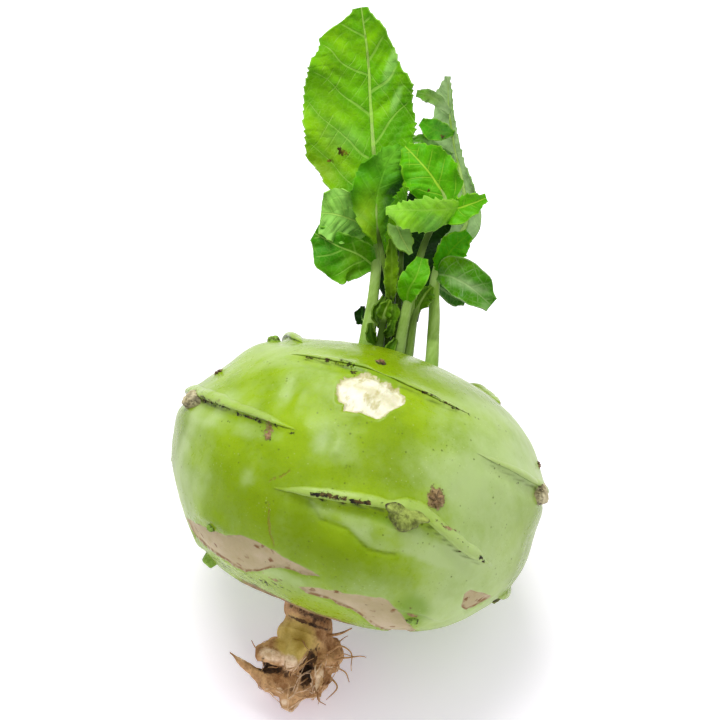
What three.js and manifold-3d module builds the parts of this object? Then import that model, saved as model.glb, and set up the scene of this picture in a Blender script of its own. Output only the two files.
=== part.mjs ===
// A kohlrabi lying on a table: the swollen stem with its leaf scars, the root below it and
// the young leaves at its crown. Millimetres, +Z up. It leans on its root, with the flat spot
// under the swollen stem at the origin.
//
// Everything is shaped in the plant's own frame, which has its origin in the middle of the
// swollen stem, +Z along the plant's axis to the crown and -Y towards its best side. A turn
// about the axis is counted from -Y towards +X.
import * as THREE from "three";
import Module from "manifold-3d";

const wasm = await Module();
wasm.setup();

// Driving dimensions.
const EQUATOR_RADIUS = 60;
const CROWN_HEIGHT = 45;
const BASE_DEPTH = 43;
const SQUARENESS = 2.45; // 2 is an ellipse, and more is boxier
const LEAN_DEG = 52; // how far the plant's axis leans from upright
const TURN_DEG = 16.5; // how far the plant is turned about its own axis
const FLAT_DEPTH = 1.0; // what the flat spot takes off the round stem
const NODE_GAP = 0.3; // between the stem and what grows from it
const BLADE_THICKNESS = 0.8;

const STEM_SIDES = 44;
const STEM_BANDS = 22;

const rad = THREE.MathUtils.degToRad;
const vec = (p) => new THREE.Vector3(...p);
const bell = (x, width) => Math.exp(-((x / width) ** 2));

// A turn in degrees, brought to between -180 and 180.
const wrapTurn = (turn) => THREE.MathUtils.euclideanModulo(turn + 180, 360) - 180;

// Solids from points.

function solidOf(positions, triangles) {
  return new wasm.Manifold(
    new wasm.Mesh({
      numProp: 3,
      vertProperties: new Float32Array(positions.flatMap((p) => p.toArray())),
      triVerts: new Uint32Array(triangles.flat()),
    }),
  );
}

// A solid of a three.js geometry, with its shared vertices merged by place.
function solidOfGeometry(geometry) {
  const place = geometry.getAttribute("position");
  const corners = geometry.index ? [...geometry.index.array] : [...Array(place.count).keys()];
  const known = new Map();
  const positions = [];
  const numbers = corners.map((i) => {
    const p = new THREE.Vector3().fromBufferAttribute(place, i);
    const key = p.toArray().map((x) => Math.round(x * 1e4)).join();
    if (!known.has(key)) {
      known.set(key, positions.length);
      positions.push(p);
    }
    return known.get(key);
  });
  const triangles = [];
  for (let i = 0; i < numbers.length; i += 3) {
    const [a, b, c] = numbers.slice(i, i + 3);
    if (a !== b && b !== c && c !== a) triangles.push([a, b, c]);
  }
  return solidOf(positions, triangles);
}

// The skin through a row of rings with the same number of points, closed by a fan at each end.
// The rings go anticlockwise when seen from the last one.
function loft(rings) {
  const sides = rings[0].length;
  const positions = rings.flat();
  const triangles = [];
  const at = (ring, side) => ring * sides + (side % sides);
  for (let ring = 0; ring < rings.length - 1; ring++) {
    for (let side = 0; side < sides; side++) {
      const [a, b] = [at(ring, side), at(ring, side + 1)];
      const [c, d] = [at(ring + 1, side), at(ring + 1, side + 1)];
      triangles.push([a, b, d], [a, d, c]);
    }
  }
  const middle = (ring) =>
    ring.reduce((sum, p) => sum.add(p), new THREE.Vector3()).divideScalar(sides);
  const [start, end] = [positions.length, positions.length + 1];
  positions.push(middle(rings[0]), middle(rings[rings.length - 1]));
  for (let side = 0; side < sides; side++) {
    triangles.push([start, at(0, side + 1), at(0, side)]);
    triangles.push([end, at(rings.length - 1, side), at(rings.length - 1, side + 1)]);
  }
  return solidOf(positions, triangles);
}

const curveThrough = (points) =>
  new THREE.CatmullRomCurve3(points.map(vec), false, "catmullrom", 0.5);

// A value between those listed at even steps along something, eased from one to the next.
function easedAlong(values, along) {
  const place = THREE.MathUtils.clamp(along, 0, 1) * (values.length - 1);
  const i = Math.min(Math.floor(place), values.length - 2);
  return THREE.MathUtils.lerp(values[i], values[i + 1], THREE.MathUtils.smoothstep(place - i, 0, 1));
}

// A round rod along a curve, with its radius given at even steps.
function rod(points, radii, { sides = 6, steps = 8, until = 1 } = {}) {
  const curve = curveThrough(points);
  const rings = [];
  let across = new THREE.Vector3(1, 0, 0);
  for (let i = 0; i <= steps; i++) {
    const t = (i / steps) * until;
    const tangent = curve.getTangent(t);
    across = across.clone().addScaledVector(tangent, -across.dot(tangent)).normalize();
    const other = tangent.clone().cross(across);
    const radius = easedAlong(radii, t);
    rings.push(
      Array.from({ length: sides }, (_, k) => {
        const angle = (k / sides) * 2 * Math.PI;
        return curve
          .getPoint(t)
          .addScaledVector(across, radius * Math.cos(angle))
          .addScaledVector(other, radius * Math.sin(angle));
      }),
    );
  }
  return loft(rings);
}

// An irregular lump: a sphere whose surface goes in and out by a rule.
function lump([x, y, z], radius, roughness, seed) {
  const geometry = new THREE.IcosahedronGeometry(radius, 2);
  const place = geometry.getAttribute("position");
  for (let i = 0; i < place.count; i++) {
    const p = new THREE.Vector3().fromBufferAttribute(place, i);
    const n = p.clone().normalize();
    const wave = Math.sin(n.x * 5 + seed) * Math.cos(n.y * 6 - seed * 2) + Math.sin(n.z * 7 + seed * 3);
    p.multiplyScalar(1 + roughness * wave).add(new THREE.Vector3(x, y, z));
    place.setXYZ(i, p.x, p.y, p.z);
  }
  return solidOfGeometry(geometry);
}

const fuse = (solids) => solids.reduce((sum, s) => sum.add(s));

// The swollen stem.

// The old leaf scars, which climb the stem by 137.5 degrees a leaf. Each is a raised ridge whose
// top is at a height, and which reaches some degrees to its left and right and falls by some mm
// towards either end. A bow hangs its right half lower. A petiole's stump hangs below it: how far
// below, half its width and height, and how far it stands out. Aside is how far round from the
// ridge's top the stump is, in degrees.
const SPIRAL_DEG = 137.5;
const FIRST_SCAR_TURN = 18;
const SCARS = [
  { leaf: 0, top: 0.9, reach: [43, 35], fall: [9.3, 9.6], bow: 2, aside: -3, stump: [1.8, 7, 4, 3.2] },
  { leaf: 2, turn: -74, top: 10.4, reach: [36, 51], fall: [4, -1], aside: 2, stump: [2, 4.2, 3.4, 3] },
  { leaf: 3, turn: 70, top: 20, reach: [37, 30], fall: [-3.8, 3], stump: [2.4, 4.2, 3.8, 2.4] },
  { leaf: 5, turn: -10, top: 35.6, reach: [40, 44], fall: [2.2, 2] },
  { leaf: 1, top: 7, reach: [36, 34], fall: [5, 6], stump: [4, 5, 3.4, 2.6] },
  { leaf: 4, top: 29, reach: [36, 36], fall: [4, 4], stump: [3.6, 4.6, 3.4, 3] },
  { leaf: 6, top: 41, reach: [34, 30], fall: [1, 2], stump: [3, 3.2, 2.4, 2.4] },
  { leaf: 7, turn: -84, top: 38.5, reach: [24, 24], fall: [2, 0], stump: [2.6, 3.4, 2.2, 1.6] },
  { leaf: -1, top: -9, reach: [30, 28], fall: [5, 5], stump: [3.6, 4.4, 3, 2.2] },
  { leaf: -2, top: -16, reach: [24, 20], fall: [3, 4], stump: [3.4, 3.6, 2.6, 2] },
  { leaf: -3, turn: -47, top: -23.5, reach: [12, 10], fall: [1, 1], stump: [2.4, 2.2, 1.6, 1.2] },
  { leaf: -5, turn: 38, top: -27.5, reach: [14, 16], fall: [1, 2], stump: [3, 3.2, 2.2, 1.2] },
  { leaf: -6, turn: -90, top: -34.5, reach: [12, 12], fall: [1, 1], stump: [3, 3.4, 2.4, 2.6] },
].map((scar) => ({ ...scar, turn: wrapTurn(scar.turn ?? FIRST_SCAR_TURN + scar.leaf * SPIRAL_DEG) }));

// A ridge's height at a share of its reach, from -1 at its left end to 1 at its right end.
function crest({ top, fall, bow = 0 }, share) {
  const rounding = 0.08;
  const sag = bow * Math.sin(Math.PI * Math.max(share, 0));
  return top - fall[share < 0 ? 0 : 1] * (Math.hypot(share, rounding) - rounding) - sag;
}

// Where a knife or a knock took a flat slice off: the turn and rise of the slice's face, and
// how deep it goes at its middle.
const SLICES = [
  { name: "torn patch under the top scar", turn: -8, rise: 50, depth: 1.2 },
  { name: "long slice low on the left", turn: -40, rise: -52, depth: 1.2 },
  { name: "slice beside the root", turn: 22, rise: -62, depth: 1.1 },
  { name: "small slice low on the right", turn: 56, rise: -34, depth: 0.4 },
];

// Broad rises and hollows of the stem: turn, height, how far round, how far up, and the lift.
const UNEVENNESS = [
  [-95, 34, 50, 17, -3.2],
  [-90, -2, 40, 14, 2.2],
  [90, -24, 30, 14, -2.6],
  [-88, -22, 30, 12, -1.3],
  [90, 12, 35, 14, -1],
  [10, -30, 50, 12, 0.6],
  [150, 5, 40, 20, 1.2],
  [-150, -18, 40, 16, -1.2],
];

// How far the surface stands off the plain round shape. It is raised where the petioles stood.
function swelling(turn, height) {
  let lift = 0;
  for (const [atTurn, atHeight, round, tall, by] of UNEVENNESS) {
    lift += by * bell(wrapTurn(turn - atTurn), round) * bell(height - atHeight, tall);
  }
  for (const scar of SCARS) {
    const sideways = wrapTurn(turn - scar.turn);
    const above = height - scar.top;
    lift += 1.7 * bell(sideways, 15) * bell(above + 6, 8);
    lift -= 0.7 * bell(sideways, 26) * bell(above + 15, 6);
  }
  return lift;
}

// The stem's surface at a turn in degrees and a height, raised by lift.
function stemPoint(turn, height, lift = 0) {
  const limit = height > 0 ? CROWN_HEIGHT : BASE_DEPTH;
  const share = Math.min(Math.abs(height) / limit, 1);
  const out = EQUATOR_RADIUS * (1 - share ** SQUARENESS) ** (1 / SQUARENESS);
  const slopeOut = (out / EQUATOR_RADIUS) ** (SQUARENESS - 1) / EQUATOR_RADIUS;
  const slopeUp = (Math.sign(height) * share ** (SQUARENESS - 1)) / limit;
  const level = Math.hypot(slopeOut, slopeUp);
  const fade = Math.min(out / 25, 1); // the relief dies away at the two poles
  const raised = lift + swelling(turn, height) * fade;
  const ring = out + (slopeOut / level) * raised;
  return new THREE.Vector3(
    ring * Math.sin(rad(turn)),
    -ring * Math.cos(rad(turn)),
    height + (slopeUp / level) * raised,
  );
}

function stemBody() {
  const positions = [stemPoint(0, -BASE_DEPTH)];
  for (let band = 1; band < STEM_BANDS; band++) {
    const angle = rad((band / STEM_BANDS) * 180 - 90);
    const limit = angle > 0 ? CROWN_HEIGHT : BASE_DEPTH;
    const height = Math.sign(angle) * limit * Math.abs(Math.sin(angle)) ** (2 / SQUARENESS);
    for (let side = 0; side < STEM_SIDES; side++) {
      positions.push(stemPoint(wrapTurn((side / STEM_SIDES) * 360), height));
    }
  }
  positions.push(stemPoint(0, CROWN_HEIGHT));
  const at = (band, side) => 1 + (band - 1) * STEM_SIDES + (side % STEM_SIDES);
  const top = positions.length - 1;
  const triangles = [];
  for (let side = 0; side < STEM_SIDES; side++) {
    triangles.push([0, at(1, side + 1), at(1, side)]);
    triangles.push([top, at(STEM_BANDS - 1, side), at(STEM_BANDS - 1, side + 1)]);
    for (let band = 1; band < STEM_BANDS - 1; band++) {
      const [a, b] = [at(band, side), at(band, side + 1)];
      const [c, d] = [at(band + 1, side), at(band + 1, side + 1)];
      triangles.push([a, b, d], [a, d, c]);
    }
  }
  return solidOf(positions, triangles);
}

// The thin raised lip of a scar, with its root sunk in the stem.
function scarRidge(scar) {
  const steps = 12;
  const [halfWidth, raised, sunk] = [1.7, 1.5, 1.6];
  const rings = [];
  for (let i = 0; i <= steps; i++) {
    const share = (i / steps) * 2 - 1;
    const turn = scar.turn + share * scar.reach[share < 0 ? 0 : 1];
    const size = Math.max(1 - share ** 4, 0.12);
    const section = [
      [-halfWidth, 0.1],
      [-halfWidth * 0.6, -sunk],
      [halfWidth * 0.6, -sunk],
      [halfWidth, 0.1],
      [0.1, raised],
    ];
    rings.push(section.map(([up, out]) => stemPoint(turn, crest(scar, share) + up * size, out * size)));
  }
  return loft(rings);
}

// The stump of a petiole: an oval peg that narrows a little to its cut end.
function scarStump({ turn, top, aside = 0, stump: [below, halfWide, halfHigh, out] }) {
  const sides = 10;
  const sunk = 4;
  const levels = [[-sunk, 1.15], [out * 0.4, 1], [out, 0.86]];
  const degreesPerMm = 180 / Math.PI / EQUATOR_RADIUS;
  return loft(
    levels.map(([lift, size]) =>
      Array.from({ length: sides }, (_, k) => {
        const angle = (k / sides) * 2 * Math.PI;
        const sideways = halfWide * size * Math.cos(angle) * degreesPerMm;
        const height = top - below + halfHigh * size * Math.sin(angle);
        return stemPoint(turn + aside + sideways, height, lift);
      }),
    ),
  );
}

// A block whose face lies along a slice, with all of it outside that face.
function sliceBlock({ turn, rise, depth }) {
  const size = 90;
  const face = new THREE.Vector3(
    Math.sin(rad(turn)) * Math.cos(rad(rise)),
    -Math.cos(rad(turn)) * Math.cos(rad(rise)),
    Math.sin(rad(rise)),
  );
  let furthest = 0;
  for (let height = -BASE_DEPTH; height <= CROWN_HEIGHT; height += 0.5) {
    furthest = Math.max(furthest, stemPoint(turn, height).dot(face));
  }
  const block = new THREE.BoxGeometry(size, size, size).translate(0, 0, size / 2 + furthest - depth);
  block.applyQuaternion(new THREE.Quaternion().setFromUnitVectors(new THREE.Vector3(0, 0, 1), face));
  return solidOfGeometry(block);
}

function swollenStem() {
  let stem = stemBody();
  for (const slice of SLICES) stem = stem.subtract(sliceBlock(slice));
  const pegs = SCARS.filter((scar) => scar.stump).map(scarStump);
  return fuse([stem, ...SCARS.map(scarRidge), ...pegs]);
}

// The root.

// The neck runs down into a broken stock, with soil-packed hollows between thick side roots.
function rootStock() {
  const neck = rod(
    [[-2, 0, -35], [-1.6, 0, -40], [0.3, 0.5, -47], [0.4, 0, -53], [0, -4, -58.2], [-0.2, -7.5, -63]],
    [8.6, 7.6, 7.6, 8.4, 5.2, 1.6],
    { sides: 12, steps: 10 },
  );
  const lumps = [
    lump([7.6, 3, -56], 7.5, 0.07, 1),
    lump([7.6, 3.5, -63.5], 6.5, 0.09, 2),
    lump([0, 5, -64], 7.5, 0.08, 3),
    lump([-5, 3, -61], 6, 0.07, 4),
  ];
  const thick = { sides: 8, steps: 6 };
  const sideRoots = [
    rod([[0, 0, -57], [-5.2, -3, -59.2], [-9.4, -4, -60.8], [-12.5, -4, -62.2]], [4.4, 4.2, 3], thick),
    rod([[3.6, 2, -67.5], [-4.4, 0, -68.6], [-12.5, -2, -67.2], [-20.8, -3, -64.4]], [6, 4.4, 2, 0.6], thick),
    rod([[1.9, 2, -63.8], [2.6, 1, -69.5], [3.2, 2, -75.4]], [6.5, 5, 2.6], thick),
    rod([[6, -2, -55], [8, -6.5, -60], [10, -7, -66.5]], [3, 2.2, 1.6], thick),
  ];
  // The two that the plant leans on.
  const feet = [
    rod([[6, 5, -62], [8, 10, -67], [8, 14.6, -71]], [5, 3.4, 2.4], thick),
    rod([[-3, 5, -62], [-5, 11, -68.5], [-5, 16, -73.4]], [5, 3.4, 2.4], thick),
  ];
  const fibres = [
    [[5, -1, -50], [10.2, -4, -46.9], [14, -5, -43.6]],
    [[9, -3, -54], [12.1, -5, -50.5], [15.8, -5, -51.4], [18.7, -4, -56.9]],
    [[9, -3, -57], [14.8, -4, -53.4], [18, -4, -52], [21.2, -3, -51.4]],
    [[10, -2, -60], [16.2, -5, -63.2], [13.8, -6, -68]],
    [[9, -3, -62], [11.1, -6, -68], [14.4, -6, -69.5]],
    [[10, 0, -58], [16.4, 0, -58.2], [19.1, 0, -60.6]],
    [[6, 4, -50], [11, 9, -51], [14, 13, -48]],
    [[-6, 5, -60], [-12, 10, -62], [-15, 13, -60]],
  ].map((points) => rod(points, [1.2, 0.7, 0.4], { sides: 4, steps: 5 }));
  return fuse([neck, ...lumps, ...sideRoots, ...feet, ...fibres]);
}

// The leaves.

// A point of a blade, from its base (along 0) to its tip (along 1), and from its left margin
// (side -1) over the rib (side 0) to its right margin (side 1). Each half rolls up by its bend.
function bladePoint(blade, along, side) {
  const t = blade.from + (1 - blade.from) * along;
  const tangent = blade.curve.getTangent(Math.min(t, 0.999));
  const across = vec(blade.across[0]).lerp(vec(blade.across[1]), along);
  across.addScaledVector(tangent, -across.dot(tangent)).normalize();
  const upward = across.clone().cross(tangent);
  const half = side < 0 ? 0 : 1;
  const full = easedAlong(blade.width[half], along);
  const bend = blade.bend[half] || 1e-3;
  const share = Math.abs(side);
  const out = (full / bend) * Math.sin(bend * share);
  const wave = blade.wave.size * Math.min(full / 8, 1) * share ** 2;
  const ripple = Math.sin(2 * Math.PI * blade.wave.count * along + blade.wave.phase + half * 2);
  const up = (full / bend) * (1 - Math.cos(bend * share)) + wave * ripple;
  return blade.curve
    .getPoint(t)
    .addScaledVector(across, Math.sign(side) * out)
    .addScaledVector(upward, up);
}

// A blade as a sheet of even thickness, split into triangles alike on both faces, with its rib
// standing out underneath.
function bladeSolid(blade, steps, halfSteps) {
  const lines = 2 * halfSteps + 1;
  const faces = [[], []];
  const nudge = 0.01;
  for (let i = 0; i <= steps; i++) {
    const along = i / steps;
    const tooth = i % 2 ? 1 + blade.tooth : 1 - blade.tooth;
    for (let j = 0; j < lines; j++) {
      const share = (j - halfSteps) / halfSteps;
      const side = Math.abs(share) === 1 ? share * tooth : share;
      const here = bladePoint(blade, along, side);
      const [before, after] = [Math.max(along - nudge, 0), Math.min(along + nudge, 1)];
      const lengthwise = bladePoint(blade, after, share).sub(bladePoint(blade, before, share));
      const [left, right] = [Math.max(share - nudge, -1), Math.min(share + nudge, 1)];
      const sideways = bladePoint(blade, along, right).sub(bladePoint(blade, along, left));
      const normal = sideways.cross(lengthwise).normalize();
      const rib = j === halfSteps ? easedAlong(blade.radii, blade.from + (1 - blade.from) * along) : 0;
      faces[0].push(here.clone().addScaledVector(normal, BLADE_THICKNESS / 2));
      faces[1].push(here.clone().addScaledVector(normal, -BLADE_THICKNESS / 2 - rib));
    }
  }
  const under = (steps + 1) * lines;
  const triangles = [];
  for (let i = 0; i < steps; i++) {
    for (let j = 0; j < lines - 1; j++) {
      const [a, b] = [i * lines + j, i * lines + j + 1];
      const [c, d] = [a + lines, b + lines];
      triangles.push([a, b, d], [a, d, c]);
      triangles.push([under + a, under + d, under + b], [under + a, under + c, under + d]);
    }
  }
  const wall = (a, b) => triangles.push([a, under + a, under + b], [a, under + b, b]);
  for (let j = 0; j < lines - 1; j++) {
    wall(j, j + 1);
    wall(steps * lines + j + 1, steps * lines + j);
  }
  for (let i = 0; i < steps; i++) {
    wall((i + 1) * lines, i * lines);
    wall(i * lines + lines - 1, (i + 1) * lines + lines - 1);
  }
  return solidOf(faces.flat(), triangles);
}

const PLAIN_BLADE = { from: 0, bend: [0.3, 0.3], wave: { size: 1.2, count: 3, phase: 0 }, tooth: 0.05 };
const LOBE_RIB = [0.7, 0.5, 0.2];
const UPRIGHT = [[1, 0, 0.1], [1, 0, 0.1]]; // across a blade whose upper face is to the best side
const SIDEWAYS = [[0.2, 0, -1], [0.2, 0, -1]]; // the same for a lobe that points to the right
const MIRRORED = [[0.2, 0, 1], [0.2, 0, 1]]; // and for one that points to the left

// Each leaf: its rib from inside the crown to its tip, the rib's radius at even steps, its main
// blade and the lobes further down. Widths are those of the left and the right half, at even
// steps from a blade's base to its tip.
const LEAVES = {
  leaf_tall: {
    colour: "#5f9a1d",
    rib: [
      [-12, 3, 39], [-15.2, 3, 54.5], [-19, 5, 69.8], [-23.6, 9, 84.5],
      [-30.3, 12, 99.4], [-37.7, 13, 115.9], [-44.6, 11, 132], [-52, 6, 146],
    ],
    radii: [2.6, 1.9, 1.6, 1.3, 0.9, 0.4],
    blade: {
      from: 0.31,
      across: [[1, 0.1, 0.4], [1, 0.1, 0.35]],
      width: [
        [3, 9, 13, 18.5, 23, 23.4, 22.4, 20.4, 15, 5.5],
        [3, 8, 10, 12, 13.8, 15.4, 16, 12.4, 8.6, 4.8],
      ],
      bend: [0.3, 0.8],
      wave: { size: 1.6, count: 4, phase: 1 },
    },
    lobes: [
      {
        rib: [[-19.3, 5, 68.3], [-25.5, 1.5, 70], [-32.7, -1, 70.2], [-41, -1.5, 71.5]],
        across: MIRRORED,
        width: [[2, 9.5, 11.5, 10, 3], [2, 5, 5, 4.5, 3]],
        tooth: 0.03,
      },
      {
        rib: [[-24.5, 6.5, 79.6], [-30.6, 1, 79.8], [-36, -1.6, 79.6], [-41.2, -1.8, 78.4]],
        across: MIRRORED,
        width: [[2, 7, 8.6, 8.6, 7], [2, 6.6, 8.4, 8.6, 6.5]],
      },
    ],
  },
  leaf_inner: {
    colour: "#4c8f2a",
    rib: [
      [-7, 8.5, 40], [-10, 5.2, 52], [-12.4, 1, 63], [-18.5, -2.5, 73], [-22.5, -3.9, 80],
      [-25.6, -2.5, 88], [-26.6, -1.5, 95], [-26.2, -1, 102], [-24.4, 0, 107.5],
    ],
    radii: [1.4, 1.1, 0.9, 0.5, 0.3],
    blade: {
      from: 0.42,
      across: [[0.9, 0.1, 0.3], [0.9, 0.1, 0]],
      width: [[2, 7, 9.5, 8.5, 4.6, 1.5], [2, 4, 5.5, 7.5, 7.5, 3]],
      bend: [0.4, -0.5],
      wave: { size: 1.8, count: 3, phase: 0 },
    },
  },
  leaf_centre: {
    colour: "#5fae14",
    rib: [
      [-1.5, -3, 40], [-5.2, -4, 61.5], [-6.4, -4, 76.4], [-6.2, -5, 84.2],
      [-4.6, -6, 94.6], [-10.4, -6, 100.4], [-16.8, -5, 104.4], [-23, -3, 107.6],
    ],
    radii: [1.7, 1.4, 1.1, 0.8, 0.5, 0.3],
    blade: {
      from: 0.56,
      across: [[1, 0, 0.5], [0.8, 0, 0.9]],
      width: [[2, 8, 9, 8, 6, 2], [2, 8, 9, 8, 5.5, 2]],
      bend: [0.3, 0.4],
      wave: { size: 1.6, count: 3, phase: 0 },
    },
    lobes: [
      {
        rib: [
          [0.8, -7.5, 95.4], [-3.6, -12, 92.6], [-10.1, -14.5, 89.8], [-16.4, -14.5, 87.6], [-21.6, -12, 85.5],
        ],
        across: MIRRORED,
        width: [[4, 7, 7.4, 6.4, 1.4], [2, 3.4, 4, 3, 1.2]],
        bend: [-0.5, -0.5],
        tooth: 0.07,
      },
      {
        rib: [[-4.4, -5.6, 94.2], [-0.4, -9, 94.4], [3.1, -10, 97], [7, -8, 100.6]],
        across: SIDEWAYS,
        width: [[2, 3, 3.5, 1.5], [5, 6, 4, 1.5]],
      },
      {
        rib: [[-5.2, -4, 60.5], [-6.2, -8, 64.5], [-5.4, -10, 69.5], [-5.6, -9, 75.5]],
        across: UPRIGHT,
        width: [[1.5, 3.6, 4.6, 4, 2], [1.5, 3, 3.8, 4, 2]],
        bend: [-0.4, 0.5],
      },
    ],
  },
  leaf_right: {
    colour: "#8db867",
    rib: [
      [10.6, 4, 40], [4.9, 3, 58.5], [0.8, 3, 70.7], [0.8, 5, 81.2], [4.2, 7, 91.1],
      [-0.4, 9, 102], [-7.6, 10, 113.5], [-13.8, 10, 125], [-17.8, 8, 134.8],
    ],
    radii: [1.9, 1.8, 1.5, 1.1, 0.7, 0.3],
    blade: {
      from: 0.33,
      across: [[-1, 0.2, 0.2], [-1, 0.5, -0.3]],
      width: [[2, 5, 5.2, 4, 2.2, 1.8, 1.6, 0.8], [2, 4, 6, 6.4, 7, 7.6, 6.4, 1.4]],
      bend: [-0.5, 0.5],
      wave: { size: 1, count: 3, phase: 2 },
    },
    lobes: [
      {
        rib: [[0.8, 2.4, 72.8], [5.5, -3, 73.3], [12.1, -5, 72.2], [20.4, -4, 69]],
        across: SIDEWAYS,
        width: [[2, 6.5, 7.4, 6.6, 3], [2, 4, 5.5, 5.2, 2.6]],
        tooth: 0.02,
      },
      {
        rib: [[1.6, 3.6, 69.4], [6, 8, 68.3], [9.3, 10, 67.8], [12.6, 11, 67.5]],
        across: SIDEWAYS,
        width: [[1.4, 2.6, 3, 1.2], [1.4, 2.8, 3, 1.2]],
      },
      {
        rib: [[0.8, 2.4, 73.6], [1.6, -1, 78.5], [3.2, -3, 83.4], [6, -4, 88.2]],
        across: UPRIGHT,
        width: [[1.2, 4, 5, 2], [1.2, 4, 4.6, 2]],
      },
      {
        rib: [[-13.3, 9.6, 124], [-18.3, 6, 126], [-21.9, 4, 126.4], [-25.5, 3, 125.8]],
        across: MIRRORED,
        width: [[1, 2.2, 2.6, 1.6], [1, 2, 2, 1]],
      },
      {
        rib: [[-9.9, 9.6, 118], [-13.5, 5, 116.8], [-17, 3, 116.6], [-21, 2, 117.4]],
        across: MIRRORED,
        width: [[1, 3, 4, 1.6], [1, 3, 3.4, 1.4]],
      },
      {
        rib: [[-8, 9.4, 111], [-13.5, 5, 111], [-18.5, 3.2, 112.2], [-21.4, 2.8, 110.8]],
        across: MIRRORED,
        width: [[1, 1.8, 1.8, 1], [1, 1.6, 1.8, 1]],
      },
    ],
  },
  leaf_heart: {
    colour: "#86b52c",
    rib: [[-5.6, 2.6, 40], [-9.4, 0.4, 56.6], [-12, -2.8, 64.3], [-14.3, -4.5, 71.3], [-17.2, -5.5, 78]],
    radii: [1.3, 1.1, 0.8, 0.4],
    blade: {
      from: 0.3,
      across: UPRIGHT,
      width: [[0.8, 2.2, 2.8, 2.6, 2, 0.8], [0.8, 2.2, 2.6, 2.4, 2, 0.8]],
      bend: [0.9, 0.9],
      wave: { size: 1.6, count: 4, phase: 0 },
    },
  },
  leaf_folded: {
    colour: "#7bb043",
    rib: [
      [-2.2, 4.6, 40], [-8, 3.5, 60.7], [-11.6, 1, 72.4], [-14.2, -4, 80.4],
      [-16.6, -7.5, 82.2], [-13.8, -9.6, 79.2], [-9.4, -9.8, 75.4],
    ],
    radii: [1.3, 1, 0.7, 0.4],
    blade: {
      from: 0.5,
      across: [[1, 0.4, 0], [0.6, 0, 0.8]],
      width: [[0.8, 3, 4, 3.4, 0.8], [0.8, 2.8, 3.6, 3.2, 0.8]],
      bend: [-0.4, -0.4],
    },
  },
  leaf_thin: {
    colour: "#7fae35",
    rib: [[1.9, 0.5, 40], [-0.6, 0.5, 52], [-1.4, 0, 58.8], [-0.8, -0.5, 64.6], [0.6, -0.6, 68.4]],
    radii: [1.4, 1.2, 1, 0.4],
    blade: {
      from: 0.5,
      across: [[1, 0, -0.1], [1, 0, -0.3]],
      width: [[0.8, 1.8, 2, 0.8], [0.8, 3, 3.4, 1]],
      bend: [0.7, 0.7],
    },
  },
  leaf_bud: {
    colour: "#6da12a",
    rib: [[-8, -3, 40], [-10.1, -3, 51.2], [-11, -5, 55.2], [-10.7, -6.5, 59.5]],
    radii: [1.6, 1.3, 0.5],
    blade: {
      from: 0.45,
      across: UPRIGHT,
      width: [[0.8, 2.6, 2.6, 0.8], [0.8, 2.6, 2.4, 0.8]],
      bend: [0.8, 0.8],
    },
    lobes: [
      {
        rib: [[-9.4, -2.4, 47.5], [-7.4, -4, 50], [-7.4, -4.6, 53.6]],
        across: UPRIGHT,
        width: [[0.8, 1.8, 1], [0.8, 1.8, 1]],
        bend: [0.8, 0.8],
      },
      {
        rib: [[-10.2, -3, 52], [-7.6, -4.2, 55.4], [-8.8, -4, 58.8]],
        across: UPRIGHT,
        width: [[0.8, 2, 1], [0.8, 1.6, 1]],
        bend: [0.8, 0.8],
      },
    ],
  },
  leaf_outer: {
    colour: "#3f8214",
    rib: [[-13.5, 9, 38], [-15.4, 11, 48.5], [-17.3, 12, 51.2], [-18.4, 12.5, 55]],
    radii: [1.3, 1.1, 0.5],
    blade: {
      from: 0.35,
      across: UPRIGHT,
      width: [[0.8, 2.4, 2.6, 0.8], [0.8, 2.4, 2.4, 0.8]],
    },
  },
  leaf_back: {
    colour: "#34690f",
    rib: [[2, 11.5, 39], [-4.3, 14.5, 69.3], [-6.9, 17, 82.4], [-9.5, 18, 95.5], [-15.8, 17, 110.6]],
    radii: [1.9, 1.4, 1, 0.4],
    blade: {
      from: 0.2,
      across: [[1, 0, 0.1], [1, 0, 0.3]],
      width: [[2, 8, 11, 11, 9, 6, 1.2], [2, 6, 8, 9, 8, 5, 1.2]],
      bend: [0.4, 0.4],
      wave: { size: 1.8, count: 3, phase: 0.5 },
    },
  },
};

function leafSolid({ rib, radii, blade, lobes = [] }) {
  const main = { ...PLAIN_BLADE, ...blade, curve: curveThrough(rib), radii };
  const large = blade.width[0].length > 6;
  const petiole = rod(rib, radii, { steps: large ? 9 : 6, until: main.from + 0.1 });
  const sheets = [bladeSolid(main, large ? 18 : 9, large ? 3 : 2)];
  for (const lobe of lobes) {
    const small = { ...PLAIN_BLADE, ...lobe, curve: curveThrough(lobe.rib), radii: LOBE_RIB };
    sheets.push(bladeSolid(small, 8, 2));
  }
  return fuse([petiole, ...sheets]);
}

// The plant, set down on the table.

const plant = new THREE.Group();
plant.rotation.set(-rad(LEAN_DEG), 0, rad(TURN_DEG));
plant.updateMatrixWorld(true);

const wholeStem = swollenStem();

// The table meets the stem where it reaches lowest, less what the flat spot takes off.
const touch = new THREE.Vector3(0, 0, Infinity);
const stemMesh = wholeStem.getMesh();
for (let i = 0; i < stemMesh.numVert; i++) {
  const p = new THREE.Vector3().fromArray(stemMesh.vertProperties, i * stemMesh.numProp);
  p.applyMatrix4(plant.matrixWorld);
  if (p.z < touch.z) touch.copy(p);
}
plant.position.set(-touch.x, -touch.y, -FLAT_DEPTH - touch.z);
plant.updateMatrixWorld(true);

// The room under the table's top, in the plant's frame.
function underTable() {
  const size = 400;
  const room = new THREE.BoxGeometry(size, size, size).translate(0, 0, -size / 2);
  return solidOfGeometry(room.applyMatrix4(plant.matrixWorld.clone().invert()));
}

const table = underTable();
const grown = 1 + NODE_GAP / Math.min(CROWN_HEIGHT, BASE_DEPTH);
const stemWithGap = wholeStem.scale([grown, grown, grown]);

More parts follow.
